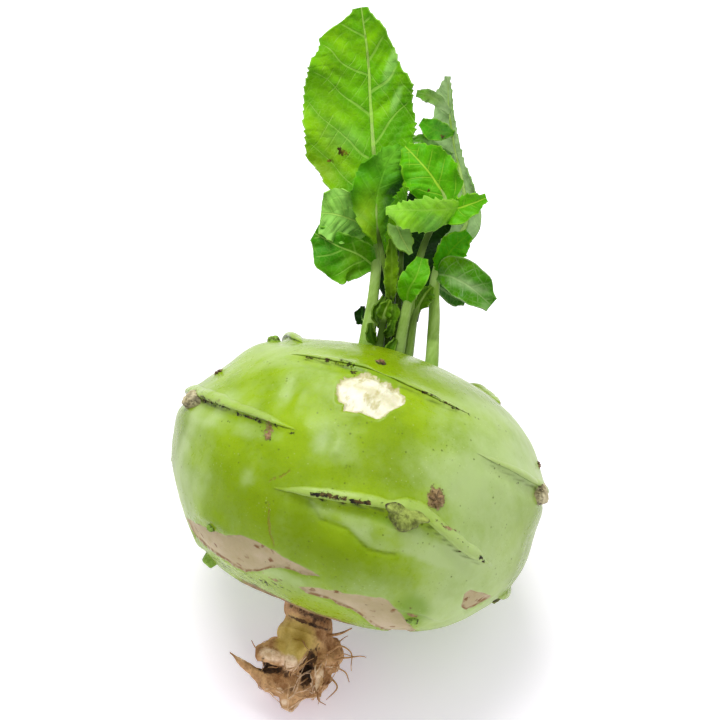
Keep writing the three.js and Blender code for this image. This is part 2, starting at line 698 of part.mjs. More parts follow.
function addNode(name, solid, colour, roughness) {
  const mesh = solid.getMesh();
  const positions = new Float32Array(mesh.numVert * 3);
  for (let i = 0; i < mesh.numVert; i++) {
    positions.set(mesh.vertProperties.subarray(i * mesh.numProp, i * mesh.numProp + 3), i * 3);
  }
  const geometry = new THREE.BufferGeometry();
  geometry.setAttribute("position", new THREE.BufferAttribute(positions, 3));
  geometry.setIndex(new THREE.BufferAttribute(new Uint32Array(mesh.triVerts), 1));
  geometry.computeVertexNormals();
  const material = new THREE.MeshStandardMaterial({ color: colour, roughness, metalness: 0 });
  const node = new THREE.Mesh(geometry, material);
  node.name = name;
  plant.add(node);
}

addNode("swollen_stem", wholeStem.subtract(table), "#9cc050", 0.35);
addNode("root", rootStock().subtract(stemWithGap).subtract(table), "#9a7442", 0.9);
for (const [name, leaf] of Object.entries(LEAVES)) {
  addNode(name, leafSolid(leaf).subtract(stemWithGap), leaf.colour, 0.5);
}

const kohlrabi = new THREE.Group();
kohlrabi.add(plant);

export default kohlrabi;
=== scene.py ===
import itertools
import math

import bpy
import numpy as np
from mathutils import Matrix, Vector

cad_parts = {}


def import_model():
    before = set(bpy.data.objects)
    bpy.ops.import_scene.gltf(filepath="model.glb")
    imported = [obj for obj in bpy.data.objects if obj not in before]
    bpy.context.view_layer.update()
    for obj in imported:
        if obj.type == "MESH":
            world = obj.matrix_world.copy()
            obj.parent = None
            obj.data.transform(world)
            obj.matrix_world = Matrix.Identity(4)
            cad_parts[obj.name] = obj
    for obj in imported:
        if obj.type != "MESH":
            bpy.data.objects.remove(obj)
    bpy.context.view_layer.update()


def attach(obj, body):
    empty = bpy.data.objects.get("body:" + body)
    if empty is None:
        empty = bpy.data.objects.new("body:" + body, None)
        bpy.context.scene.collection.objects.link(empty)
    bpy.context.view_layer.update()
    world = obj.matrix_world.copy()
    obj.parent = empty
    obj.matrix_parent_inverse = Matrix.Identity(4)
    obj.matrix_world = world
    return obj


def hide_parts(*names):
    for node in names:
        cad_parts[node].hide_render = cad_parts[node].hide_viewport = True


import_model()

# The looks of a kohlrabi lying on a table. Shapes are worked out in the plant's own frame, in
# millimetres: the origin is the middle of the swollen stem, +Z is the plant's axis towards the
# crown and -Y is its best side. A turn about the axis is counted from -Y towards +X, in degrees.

# How the plant lies: its axis leans from upright, after a turn about itself.
LEAN_DEG = 52
TURN_DEG = 16.5
MIDDLE_MM = np.array([0.12, -11.57, 55.93])
TO_WORLD = np.array(Matrix.Rotation(-math.radians(LEAN_DEG), 3, "X")
                    @ Matrix.Rotation(math.radians(TURN_DEG), 3, "Z"))


def world(points):
    """Points of the plant's frame, in the model's frame and metres. None is under the table."""
    placed = np.asarray(points, float) @ TO_WORLD.T + MIDDLE_MM
    placed[..., 2] = np.maximum(placed[..., 2], 0)
    return placed / 1000


# Camera, as the photograph was taken.
AZIMUTH, ELEVATION = math.radians(25.7), math.radians(49)
DISTANCE = 0.9
SENSOR_MM, LENS_MM = 36, 139.5
back = Vector((math.sin(AZIMUTH) * math.cos(ELEVATION), -math.cos(AZIMUTH) * math.cos(ELEVATION),
               math.sin(ELEVATION)))
right = Vector((0, 0, 1)).cross(back).normalized()
up = back.cross(right)
AIM_RIGHT, AIM_UP = 0.00065, 0.0403
aim = Vector(MIDDLE_MM / 1000) + right * AIM_RIGHT + up * AIM_UP
camera = bpy.data.objects.new("camera", bpy.data.cameras.new("camera"))
bpy.context.scene.collection.objects.link(camera)
camera.data.sensor_width = SENSOR_MM
camera.data.lens = LENS_MM
camera.location = aim + back * DISTANCE
camera.rotation_mode = "QUATERNION"
camera.rotation_quaternion = (-back).to_track_quat("-Z", "Y")
bpy.context.scene.camera = camera


# ## Numbers that vary over a surface

def bell(x, width):
    return np.exp(-(x / width) ** 2)


def ramp(x, low, high):
    """0 below low, 1 above high, eased between."""
    t = np.clip((x - low) / (high - low), 0, 1)
    return t * t * (3 - 2 * t)


def wrap(turn):
    return (turn + 180) % 360 - 180


def noise(points, size, seed=0):
    """Smooth noise from -1 to 1 whose lumps are about size mm across."""
    q = np.asarray(points, float) / size
    corner = np.floor(q).astype(np.int64)
    f = q - corner
    f = f * f * (3 - 2 * f)
    total = np.zeros(q.shape[:-1])
    for step in itertools.product((0, 1), repeat=3):
        weight = np.prod(np.where(step, f, 1 - f), axis=-1)
        i = corner + step
        n = (i[..., 0] * 73856093) ^ (i[..., 1] * 19349663) ^ (i[..., 2] * 83492791) ^ (seed * 2654435761)
        n = ((n ^ (n >> 13)) * 1274126177) & 0xFFFFFFFF
        total += weight * (((n ^ (n >> 16)) & 0xFFFFFF) / 0xFFFFFF)
    return total * 2 - 1


def rough(points, size, seed=0, octaves=4):
    """Noise with ever smaller lumps added to it."""
    total = sum(noise(points, size / 2 ** k, seed + k) / 2 ** k for k in range(octaves))
    return total / sum(1 / 2 ** k for k in range(octaves))


def off_line(x, z, line):
    """How far each point is from an open line."""
    nearest = np.full(x.shape, np.inf)
    for (ax, az), (bx, bz) in zip(line, line[1:]):
        dx, dz = bx - ax, bz - az
        t = np.clip(((x - ax) * dx + (z - az) * dz) / (dx * dx + dz * dz), 0, 1)
        nearest = np.minimum(nearest, np.hypot(x - ax - t * dx, z - az - t * dz))
    return nearest


def inside(x, z, outline):
    """How far each point is inside a closed outline, as a list, and negative outside it."""
    closed = outline[-1:] + outline
    odd = np.zeros(x.shape, bool)
    for (ax, az), (bx, bz) in zip(closed, outline):
        if az != bz:
            odd ^= ((az > z) != (bz > z)) & (x < ax + (z - az) * (bx - ax) / (bz - az))
    nearest = off_line(x, z, closed)
    return np.where(odd, nearest, -nearest)


def tone(points, spots):
    """The sum of soft spots, each given by its x, z, half width, half height and amount."""
    total = np.zeros(points.shape[:-1])
    for at_x, at_z, wide, tall, amount in spots:
        total += amount * bell(points[..., 0] - at_x, wide) * bell(points[..., 2] - at_z, tall)
    return total


# ## Meshes

def piece(name, points, faces, fields, material, replaces=()):
    """A smooth mesh from points in the plant's frame, with a named value for each point."""
    mesh = bpy.data.meshes.new(name)
    mesh.from_pydata(world(points).tolist(), [], faces)
    mesh.shade_smooth()
    for field, values in fields.items():
        layer = mesh.attributes.new(field, "FLOAT", "POINT")
        layer.data.foreach_set("value", np.asarray(values, np.float32))
    mesh.materials.append(material)
    made = bpy.data.objects.new(name, mesh)
    bpy.context.scene.collection.objects.link(made)
    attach(made, "root")
    if replaces:
        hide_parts(*replaces)
    return made


def grid_faces(rows, columns, first=0, closed=False):
    """The four-sided faces of a grid of points, seen anticlockwise with rows going up."""
    i, j = np.meshgrid(np.arange(rows - 1), np.arange(columns - (0 if closed else 1)), indexing="ij")
    k = (j + 1) % columns
    quads = np.stack([i * columns + j, i * columns + k, (i + 1) * columns + k, (i + 1) * columns + j], -1)
    return quads.reshape(-1, 4) + first


class Patchwork:
    """Gathers parts of one piece: points, faces and fields."""

    def __init__(self, *fields):
        self.points, self.faces, self.fields = [], [], {f: [] for f in fields}
        self.count = 0

    def add(self, points, faces, **values):
        points = np.asarray(points, float)
        for name, kept in self.fields.items():
            kept.append(np.broadcast_to(values.get(name, 0.0), points.shape[:-1]).ravel())
        self.points.append(points.reshape(-1, 3))
        self.faces.extend([int(i) + self.count for i in face] for face in faces)
        self.count += self.points[-1].shape[0]

    def piece(self, name, material, slot, replaces=()):
        joined = {k: np.concatenate(v) for k, v in self.fields.items()}
        return piece(name, np.concatenate(self.points), self.faces, joined, material, replaces)


# ## Materials

class Value:
    """A value in a shader, for sums and products that are written as such."""

    def __init__(self, nodes, socket):
        self.nodes, self.socket = nodes, socket

    def __add__(self, other):
        return self.nodes.math("ADD", self, other)

    def __sub__(self, other):
        return self.nodes.math("SUBTRACT", self, other)

    def __rsub__(self, other):
        return self.nodes.math("SUBTRACT", other, self)

    def __mul__(self, other):
        return self.nodes.math("MULTIPLY", self, other)

    def __truediv__(self, other):
        return self.nodes.math("DIVIDE", self, other)

    def __abs__(self):
        return self.nodes.math("ABSOLUTE", self)

    def either(self, other):
        """The larger of two values."""
        return self.nodes.math("MAXIMUM", self, other)

    def clamped(self):
        return self.nodes.math("MULTIPLY", self, 1, clamp=True)


class Nodes:
    """The shader nodes that the materials are put together from."""

    def __init__(self, name):
        self.material = bpy.data.materials.new(name)
        self.material.use_nodes = True
        self.tree = self.material.node_tree
        self.shader = self.tree.nodes["Principled BSDF"]
        self.place = self.node("TexCoord", {}, "Object")

    def node(self, kind, inputs, output=0, **settings):
        node = self.tree.nodes.new("ShaderNode" + kind)
        for name, value in settings.items():
            setattr(node, name, value)
        for key, value in inputs.items():
            self.feed(node.inputs[key], value)
        return Value(self, node.outputs[output])

    def feed(self, socket, value):
        if isinstance(value, Value):
            self.tree.links.new(value.socket, socket)
        else:
            socket.default_value = value

    def set(self, values):
        for name, value in values.items():
            self.shader.inputs[name].default_value = value

    def math(self, operation, *values, clamp=False):
        return self.node("Math", dict(enumerate(values)), operation=operation, use_clamp=clamp)

    def field(self, name):
        return self.node("Attribute", {}, "Fac", attribute_name=name)

    def noise(self, scale, detail=4, roughness=0.6, stretch=(1, 1, 1)):
        place = self.node("Mapping", {"Scale": stretch, "Vector": self.place})
        inputs = {"Vector": place, "Scale": scale, "Detail": detail, "Roughness": roughness}
        return self.node("TexNoise", inputs, "Fac")

    def cells(self, scale, feature="F1"):
        return self.node("TexVoronoi", {"Vector": self.place, "Scale": scale}, "Distance", feature=feature)

    def step(self, value, low, high):
        """0 below low and 1 above high, or the other way round."""
        inputs = {"Value": value, "From Min": min(low, high), "From Max": max(low, high),
                  "To Min": float(low > high), "To Max": float(low < high)}
        return self.node("MapRange", inputs, interpolation_type="SMOOTHSTEP")

    def mix(self, share, a, b):
        return self.node("Mix", {0: share, 6: tint(a), 7: tint(b)}, 2, data_type="RGBA")

    def finish(self, colour, roughness, height=None, bump_mm=0.0, strength=1.0):
        self.feed(self.shader.inputs["Base Color"], colour)
        self.feed(self.shader.inputs["Roughness"], roughness)
        if height is not None:
            bump = self.node("Bump", {"Distance": bump_mm / 1000, "Strength": strength, "Height": height})
            self.feed(self.shader.inputs["Normal"], bump)
        return self.material


def tint(colour):
    """What the shader wants: a colour as a screen shows it, (r, g, b) from 0 to 255, is converted."""
    def linear(c):
        c = c / 255
        return c / 12.92 if c <= 0.04045 else ((c + 0.055) / 1.055) ** 2.4
    is_screen_colour = isinstance(colour, tuple) and len(colour) == 3
    return (*map(linear, colour), 1) if is_screen_colour else colour


# Specks of the skin: the scale of their cells and their size there, the scale of the patches that
# they come in and where those start and end, how strong they are and their colour.
SPECKS = [
    (420, 0.2, 120, (0.5, 0.62), 0.7, (84, 98, 20)),
    (900, 0.22, 60, (0.45, 0.6), 0.35, (96, 116, 16)),
    (640, 0.2, 75, (0.5, 0.6), 0.3, (206, 222, 150)),
]
SPECK_EDGE = 0.12


def skin_material():
    n = Nodes("kohlrabi_skin")
    fine = n.noise(420)
    colour = n.mix(n.step(n.noise(55, 5), 0.35, 0.65), (130, 162, 4), (148, 180, 18))
    # Deeper green in patches, and painted shade at the rims and the crown of the best side.
    colour = n.mix((n.field("deep") * 0.65).clamped(), colour, (114, 142, 0))
    # The whitish bloom, in streaks along the stem and rubbed off in places; the bloom field also holds
    # painted highlights and painted reflections, which are painted here with it.
    streaks = (n.noise(60, stretch=(1, 1, 0.3)) - 0.5) * 1.3
    rubbed = (n.noise(210, 5, 0.7) - 0.5) * 0.8
    frost_and_highlight = n.step(n.field("bloom") + streaks + rubbed, -0.05, 1.2)
    colour = n.mix(frost_and_highlight * 0.8, colour, (186, 208, 142))
    # The lips of the leaf scars.
    lip = n.step(n.field("lip") + (fine - 0.5) * 0.5, 0.1, 1.05)
    colour = n.mix(lip * 0.6, colour, (168, 192, 106))
    # Bright green where new skin shows beside the scars.
    colour = n.mix(n.step(n.field("fresh"), 0.2, 0.9) * 0.7, colour, (116, 154, 14))
    for scale, size, patch_scale, patch_ends, strength, speck_colour in SPECKS:
        in_patches = n.step(n.noise(patch_scale, 3), *patch_ends)
        specks = n.step(n.cells(scale), size, size - SPECK_EDGE) * in_patches
        colour = n.mix(specks * strength, colour, speck_colour)
    # Skin that was shaved off, with its healed rim and spots.
    ragged = (n.noise(260) - 0.5) * 0.8
    shaved = n.field("shaved") + ragged
    tan = n.mix(n.step(n.noise(70, 5), 0.35, 0.7), (178, 164, 122), (200, 184, 150))
    tan = n.mix(n.step(n.noise(140, 3, 0.7, (1, 1, 0.4)), 0.52, 0.75) * 0.6, tan, (170, 146, 92))
    uneven_cells = n.cells(210) + (n.noise(900) - 0.5) * 0.5
    spots = n.step(uneven_cells, 0.27, 0.14) * n.step(n.noise(90, 3), 0.4, 0.5)
    tan = n.mix(spots * 0.9, tan, (122, 78, 36))
    rim = n.step(shaved, -0.1, 0.1) * n.step(shaved, 0.75, 0.25) * (n.field("lower_rim") * 0.6 + 0.25)
    tan = n.mix(rim * n.step(n.noise(330), 0.36, 0.54), tan, (132, 92, 38))
    colour = n.mix(n.step(shaved, -0.1, 0.12), colour, tan)
    # The torn patch: pale flesh under the top scar.
    frayed = (n.noise(520, stretch=(1, 1, 0.5)) - 0.5) * 2.6
    torn = n.field("torn") + ragged * 1.4 + frayed
    flesh = n.mix(n.step(n.noise(150, 5), 0.35, 0.65), (212, 207, 168), (238, 237, 214))
    flesh = n.mix(n.step(n.noise(240, 3, 0.7, (1, 0.5, 0.3)), 0.54, 0.68) * 0.75, flesh, (180, 170, 100))
    colour = n.mix(n.step(torn, -0.15, 0.15), colour, flesh)
    torn_rim = n.step(torn, -0.3, 0.0) * n.step(torn, 1.0, 0.2)
    colour = n.mix(torn_rim * 0.5, colour, (152, 146, 62))
    # Painted shade in the hollows under the lips, along the crease and on the lips' undersides; soil and
    # dried sap in the hollows under the lips, round the buds and along the cracks.
    crumbs = (n.noise(520, 6, 0.75) - 0.5) * 2.6
    groove = n.step(n.field("groove") + crumbs * 0.25, 0.15, 0.9)
    colour = n.mix(groove * 0.75, colour, (84, 104, 14))
    soil = n.step(n.field("soil") + crumbs, 0.5, 0.68)
    colour = n.mix(soil, colour, n.mix(n.step(fine, 0.45, 0.65), (30, 26, 12), (92, 74, 34)))
    bark = n.step(n.field("bark") + crumbs * 0.8, 0.42, 0.6)
    colour = n.mix(bark * 0.85, colour, n.mix(n.step(fine, 0.4, 0.62), (120, 84, 60), (172, 136, 104)))
    crack = n.step(n.field("crack") + crumbs * 0.35, 0.3, 0.7)
    colour = n.mix(crack * 0.6, colour, (140, 116, 40))
    dry = n.step(shaved, 0, 0.3).either(soil.either(bark))
    roughness = (fine * 0.16 + 0.2 + frost_and_highlight * 0.12 + dry * 0.35).clamped()
    height = n.noise(230, 3) * 0.4 + n.noise(900, 3) * 0.16
    height = height + dry * n.noise(700, 5, 0.7) * 1.6 - crack * 0.8
    n.set({"Subsurface Weight": 0.12, "Subsurface Radius": (0.6, 1.0, 0.2), "Subsurface Scale": 0.002,
           "Specular IOR Level": 0.2})
    return n.finish(colour, roughness, height, 0.35, 0.6)


def stump_material():
    """Dried, fibrous ends of old petioles and the small scaly buds."""
    n = Nodes("dried_stump")
    fibre = n.noise(330, 5, 0.7, (1, 1, 0.35))
    grain = n.noise(800, 4, 0.7)
    light = n.step(fibre, 0.35, 0.65)
    olive = n.mix(light, (100, 112, 24), (166, 184, 84))
    pale = n.mix(light, (164, 152, 108), (214, 204, 164))
    brown = n.mix(light, (84, 62, 30), (158, 128, 84))
    green = n.mix(light, (122, 164, 36), (150, 190, 76))
    colour = n.mix(n.step(n.field("tone"), -0.2, -0.8), olive, green)
    colour = n.mix(n.step(n.field("tone"), 0.25, 0.5), colour, pale)
    colour = n.mix(n.step(n.field("tone"), 0.75, 0.9), colour, brown)
    colour = n.mix(n.field("dark") * n.step(grain, 0.4, 0.55), colour, (58, 48, 20))
    return n.finish(colour, 0.75, fibre + grain * 0.5, 0.5, 0.9)


# ## The swollen stem

EQUATOR_RADIUS = 60
CROWN_HEIGHT = 45
BASE_DEPTH = 43
SQUARENESS = 2.45
SPIRAL_DEG = 137.5
FIRST_SCAR_TURN = 18

# Each old leaf scar: its ridge's top, how far it reaches to its left and right in degrees, how
# far it falls towards either end, and its stump: how far below the top, half its width and
# height, how far it stands out, and its tone (0 olive, 0.6 pale). Soil is how dirty it is, bow how
# far the right half sags, dip how much the ridge sinks in its middle, aside how many degrees the
# stump stands beside the middle, and lip the size of the overhanging edge.
SCARS = [
    dict(leaf=0, top=0.9, reach=(43, 35), fall=(9.3, 9.6), bow=2, stump=(2.3, 7.2, 3.9, 3.2, 0),
         aside=-3, soil=0.5),
    dict(leaf=2, turn=-74, top=10.4, reach=(36, 51), fall=(4, -1), stump=(2, 3.6, 3.2, 3, 0.7), aside=4,
         lip=0.85, soil=0.5),
    dict(leaf=3, turn=70, top=20, reach=(37, 30), fall=(-3.8, 3), stump=(2.4, 4.2, 3.8, 2.4, 0.7),
         lip=0.65, soil=0.4),
    dict(leaf=5, turn=-10, top=35.6, reach=(40, 44), fall=(2.2, 2), lip=0.7, soil=0.3, dip=0.8),
    dict(leaf=1, top=7, reach=(36, 34), fall=(5, 6), stump=(4, 5, 3.4, 2.6, 0), soil=0.6),
    dict(leaf=4, top=29, reach=(36, 36), fall=(4, 4), stump=(3.6, 4.6, 3.4, 3, 0.6), soil=0.6),
    dict(leaf=6, top=41, reach=(34, 30), fall=(1, 2), stump=(3, 3.2, 2.4, 2.4, 0.6), soil=0.4),
    dict(leaf=7, turn=-84, top=38.5, reach=(24, 24), fall=(2, 0), stump=(2.6, 3.4, 2.2, 1.6, -1), soil=0.4),
    dict(leaf=-1, top=-9, reach=(30, 28), fall=(5, 5), stump=(3.6, 4.4, 3, 2.2, 0), soil=0.6),
    dict(leaf=-2, top=-16, reach=(24, 20), fall=(3, 4), stump=(3.4, 3.6, 2.6, 2, 0), soil=0.5),
    dict(leaf=-3, turn=-47, top=-23.5, reach=(12, 10), fall=(1, 1), stump=(2.4, 1.6, 1.3, 0.5, -1), soil=0.9),
    dict(leaf=-5, turn=38, top=-27.5, reach=(14, 16), fall=(1, 2), stump=(3.4, 2.4, 1.4, 0.6, -1), soil=0.9),
    dict(leaf=-6, turn=-90, top=-34.5, reach=(12, 12), fall=(1, 1), stump=(3, 3.4, 2.4, 2.6, -1.5), soil=0.0),
]
for scar in SCARS:
    scar["turn"] = float(wrap(scar.get("turn", FIRST_SCAR_TURN + scar["leaf"] * SPIRAL_DEG)))

# Broad rises and hollows: turn, height, how far round, how far up, and the lift.
UNEVENNESS = [
    (-95, 34, 50, 17, -3.2), (-90, -2, 40, 14, 2.2), (90, -24, 30, 14, -2.6), (-88, -22, 30, 12, -1.3),
    (90, 12, 35, 14, -1), (10, -30, 50, 12, 0.6), (150, 5, 40, 20, 1.2), (-150, -18, 40, 16, -1.2),
]

# What shows from the best side, as outlines and lines in x and z.
TORN = [(-17.4, 30), (-14, 33.2), (-10.5, 35.2), (-5.5, 35), (0.5, 34.4), (4, 32), (4.2, 30), (1.6, 27.4),
        (-1.3, 23.4), (-2.6, 22.8), (-7, 23.2), (-12.6, 21.8), (-13, 24), (-15.4, 23.8), (-16.7, 26.4)]
SHAVED = [
    [(-48.5, -28), (-40, -27.6), (-34, -27.4), (-29.4, -25), (-24.4, -25), (-19.3, -25.6), (-14, -26.6),
     (-8.9, -27.2), (-4.6, -27.6), (-1.5, -28.6), (-8, -29.6), (-13, -29.8), (-17, -31.4), (-20, -34),
     (-24, -36.4), (-29, -36), (-34, -35), (-39, -34.6), (-44, -33)],
    [(-7, -34), (-0.7, -32), (7, -30.6), (14.5, -29), (20, -28.2), (24, -30.6), (28.6, -33.4), (33, -35.8),
     (31, -38.4), (27, -40.4), (19.6, -38.6), (12, -36), (3.4, -34.8), (-4, -35.2)],
    [(42, -18.6), (43.8, -17.2), (49.5, -17.2), (51.4, -17.6), (48.4, -21.4), (45.4, -24.6), (42.8, -23.4)],
]
CRACKS = [
    [(-32.6, 7), (-31.4, 3), (-30.2, -1), (-28.2, -4.3), (-27.2, -8.5), (-24.2, -13), (-22.8, -17),
     (-21.2, -20), (-18.8, -24), (-16.3, -25.6)],
    [(-27.6, -6.8), (-25.4, -4.6), (-23.4, -2.9), (-20.5, 0.6)],
]
# Lines of soil: half width and amount, then the line.
SOIL_LINES = [
    (1.0, 0.95, [(-12.5, -4.6), (-9.4, -3.7), (-1.6, -2.6), (4, -1.4)]),
    (0.5, 0.6, [(4, -1.4), (8, -0.4)]),
    (0.7, 0.7, [(-54.5, 10.2), (-43.4, 9.4), (-34, 10.4), (-24, 10.4)]),
    (0.4, 0.6, [(24, 0.6), (32, -2.2), (40, -5.4)]),
    (0.8, 0.8, [(41, -6), (43.6, -7.2)]),
    (1.2, 0.6, [(-19.7, 34.7), (-15.8, 35.2), (-13.3, 34.2)]),
    (0.3, 0.6, [(-31, 32.6), (-24, 33.7), (-20, 34.2)]),
    (0.3, 0.7, [(4, 34.8), (11.7, 34.7), (19, 33.8), (25, 33.4)]),
    (0.4, 0.4, [(42, 20), (52, 18)]),
    (2.2, 0.42, [(-46, -37), (-36, -38), (-20, -37.6), (-10, -36)]),
    (1.3, 0.6, [(-33.4, 10), (-31.4, 6)]),
    (0.9, 0.9, [(-7.8, 39.3), (-5.8, 39.7)]),
    (1.3, 0.45, [(20, 8.4), (24.6, 4.6)]),
]
# Buds and scabs above the scars: turn, height, radius, how brown the skin round it is, and how
# far the bud itself stands out.
BUDS = [
    (22.2, 6.4, 3.3, 1.3, 1.1), (-33, 9.4, 2.2, 0.75, 0), (-32, 6.4, 1.4, 0.7, 0), (-75, 19.6, 2.2, 0.5, 0.8),
    (76, 26, 1.6, 0.5, 0.6), (-11, 39.6, 1.5, 1.0, 0.4), (153, 18, 2.2, 0.8, 1), (-150, 38, 1.8, 0.7, 0.8),
    (118, 40, 1.6, 0.5, 0.6), (-120, 1, 2.0, 0.8, 0.8), (106, -6, 2.0, 0.7, 0.8),
]
# Where the bloom lies on the best side, with painted highlights (the narrow streaks at the upper left) and
# painted reflections of the white surroundings (the pale right side and the left rim): x, z, half its width
# and height, and how much of it.
BLOOM_AND_HIGHLIGHTS = [
    (-52, 2.4, 9, 6, 0.4), (-47, 13, 9, 3, 0.5), (-24, 29, 14, 7, 0.3), (-31, 22, 2.2, 6, 0.7),
    (-16, 12, 2.4, 4.5, 0.75), (-11, 10, 5, 3, 0.4), (36, 26, 18, 12, 0.75), (46, 4, 14, 26, 0.8),
    (27, 12, 11, 10, 0.8), (36, -12, 16, 12, 0.65),
    (18, -27, 16, 5, 0.55), (42, -26, 12, 8, 0.75), (-47, -14, 4, 12, 0.4), (-33, -7.4, 2.4, 3, 0.6),
    (-18, -32.5, 16, 2.6, 0.8), (24, 38, 16, 5, 0.5), (-10, 42, 20, 3, 0.2), (-38, 31, 8, 6, 0.35),
]
DEEP = [(-32, -14, 15, 12, 1.0), (6, 13, 14, 8, 0.9), (-2, -21, 22, 5, 1.0), (-13, -14, 9, 6, 0.8),
        (-12, 24, 12, 5, 0.4)]
FRESH = [(28, -28, 6, 5.5, 1.1), (-5, 35.6, 9, 0.8, 0.9), (-44, 7, 8, 1.2, 0.5), (13, -5, 9, 1.4, 0.9),
         (-15, 35, 4, 1.4, 0.7)]
SCABS = [(28.8, -30.6, 2.2, 0.7, 0.9), (27.3, -27.7, 0.8, 0.8, 0.5), (-15, -34.6, 5, 1.4, 0.55),
         (30, -0.6, 5, 0.6, 0.8), (-48, 10.6, 5, 1, 0.4), (-39, -25, 1.2, 1.2, 0.6), (-30, 34, 8, 0.4, 0.4),
         (46, -4, 1, 9, 0.25)]
# Pale zones with an edge: how pale, then the outline. The first is the dull band under the
# lowest ridge.
ZONES = [
    (0.75, [(-15, -7.4), (-3, -6), (10, -4), (20, -2.4), (32, -6), (42, -10), (34, -12.6), (17, -13.2),
            (9, -14.2), (0, -11), (-8, -11)]),
    (0.45, [(-60, 9), (-44, 8), (-34, 9.4), (-27, 10), (-26, 6), (-33, 3.6), (-44, 2.2), (-60, 1)]),
    (0.4, [(-60, -2), (-53, -4), (-50, -14), (-49, -26), (-60, -30)]),
    (0.2, [(-27, 18), (-16, 19), (-6, 17), (-2, 10), (-6, 7), (-12, 3), (-18, 4), (-20, 10), (-26, 13)]),
]
CREASE = [(-13, -8), (-8, -10.8), (0, -10.8), (9, -14.2), (17, -13)]
# Small dents and rises: x, z, half width and height, and the lift.
DENTS = [(-14.8, 11, 2.2, 4, -0.8), (-10.8, 9.6, 2, 3.4, 0.6), (-31, 22, 2.6, 6, -0.7),
         (-27.4, 23, 2.4, 6, 0.5), (-22, 13, 3, 3, 0.5), (6, 6, 6, 2, -0.3), (-38, 2, 6, 3, -0.4),
         (20, -16, 7, 3, 0.5), (30, 10, 3, 8, -0.4)]


def meridian(height):
    """How far the stem reaches from its axis at a height, and the outward direction there."""
    limit = np.where(height > 0, CROWN_HEIGHT, BASE_DEPTH)
    share = np.clip(np.abs(height) / limit, 0, 1)
    out = EQUATOR_RADIUS * (1 - share ** SQUARENESS) ** (1 / SQUARENESS)
    slope_out = (out / EQUATOR_RADIUS) ** (SQUARENESS - 1) / EQUATOR_RADIUS
    slope_up = np.sign(height) * share ** (SQUARENESS - 1) / limit
    level = np.hypot(slope_out, slope_up)
    return out, slope_out / level, slope_up / level


def swelling(turn, height):
    lift = np.zeros(np.broadcast(turn, height).shape)
    for at_turn, at_height, around, tall, by in UNEVENNESS:
        lift += by * bell(wrap(turn - at_turn), around) * bell(height - at_height, tall)
    for scar in SCARS:
        sideways, above = wrap(turn - scar["turn"]), height - scar["top"]
        lift += 1.7 * bell(sideways, 15) * bell(above + 6, 8)
        lift -= 0.7 * bell(sideways, 26) * bell(above + 15, 6)
    return lift


def stem_point(turn, height, lift=0.0):
    turn, height = np.broadcast_arrays(np.asarray(turn, float), np.asarray(height, float))
    out, lean_out, lean_up = meridian(height)
    raised = lift + swelling(turn, height) * np.minimum(out / 25, 1)
    ring, angle = out + lean_out * raised, np.radians(turn)
    return np.stack([ring * np.sin(angle), -ring * np.cos(angle), height + lean_up * raised], -1)


# Lengths along the surface, from the equator towards the crown.
_heights = np.linspace(-BASE_DEPTH, CROWN_HEIGHT, 4001)
_radii = meridian(_heights)[0]
_spans = np.concatenate([[0], np.cumsum(np.hypot(np.diff(_heights), np.diff(_radii)))])
_spans -= np.interp(0, _heights, _spans)


def span(height):
    return np.interp(height, _heights, _spans)


def crest(scar, share):
    """A ridge's height at a share of its reach, from -1 at its left end to 1 at its right end."""
    rounding = 0.08
    fall = np.where(share < 0, scar["fall"][0], scar["fall"][1])
    bow = scar.get("bow", 0) * np.sin(np.pi * np.clip(share, 0, 1))
    return scar["top"] - fall * (np.hypot(share, rounding) - rounding) - bow


# How high or deep the marks of the skin are, in mm.
RIDGE_RISE, RIDGE_HOLLOW = 1.0, 0.7
CREASE_DEPTH, CRACK_DEPTH, SHAVED_DEPTH, TORN_DEPTH = 0.7, 0.12, 0.75, 1.0
# How far below the equator the brown collar of the root starts and is full.
COLLAR_FROM, COLLAR_FULL = 39.5, 42.5
# What stands for "in no patch", in mm.
FAR_OUTSIDE = -30.0
TONE_FIELDS = ("bloom", "deep", "lip", "fresh", "soil", "bark", "crack", "groove")
STEM_FIELDS = TONE_FIELDS + ("shaved", "torn", "lower_rim")


def add_scars_and_buds(lift, fields, turn, height, plain):
    s = span(height)
    wander = rough(plain, 9, 11)
    for k, scar in enumerate(SCARS):
        side = wrap(turn - scar["turn"])
        share = side / np.where(side < 0, *scar["reach"])
        above = s - span(crest(scar, np.clip(share, -1.2, 1.2))) + 0.5 * wander
        along = np.clip(1 - np.abs(share) ** 3, 0, 1) * (np.abs(share) < 1) * min(1, scar["reach"][0] / 20)
        along = along * (1 - scar.get("dip", 0) * bell(share - 0.05, 0.16))
        swell = np.where(above > 0, bell(above, 3.4), bell(above, 1.2))
        lift += along * (RIDGE_RISE * swell - RIDGE_HOLLOW * bell(above + 3.2, 2.0))
        patchy = ramp(noise(plain, 6, 40 + k), -0.3, 0.5)
        fields["lip"] += 0.35 * along * bell(above - 1, 2.4)
        fields["soil"] += scar["soil"] * along * bell(above + 1.5, 0.85) * patchy
        fields["fresh"] += 0.35 * along * bell(above + 2.4, 1.0)
        # Painted shade in the hollow just under the ridge.
        fields["groove"] += along * bell(above + 1.5, 0.55) * (0.7 + 0.3 * patchy)
    for turn_at, height_at, radius, brown, stands in BUDS:
        away = np.hypot(np.radians(wrap(turn - turn_at)) * meridian(height)[0], s - span(height_at))
        fields["bark"] += brown * bell(away, radius)
        fields["fresh"] += 0.4 * bell(away, radius * 1.8)
        lift += stands * bell(away, radius * 0.9)


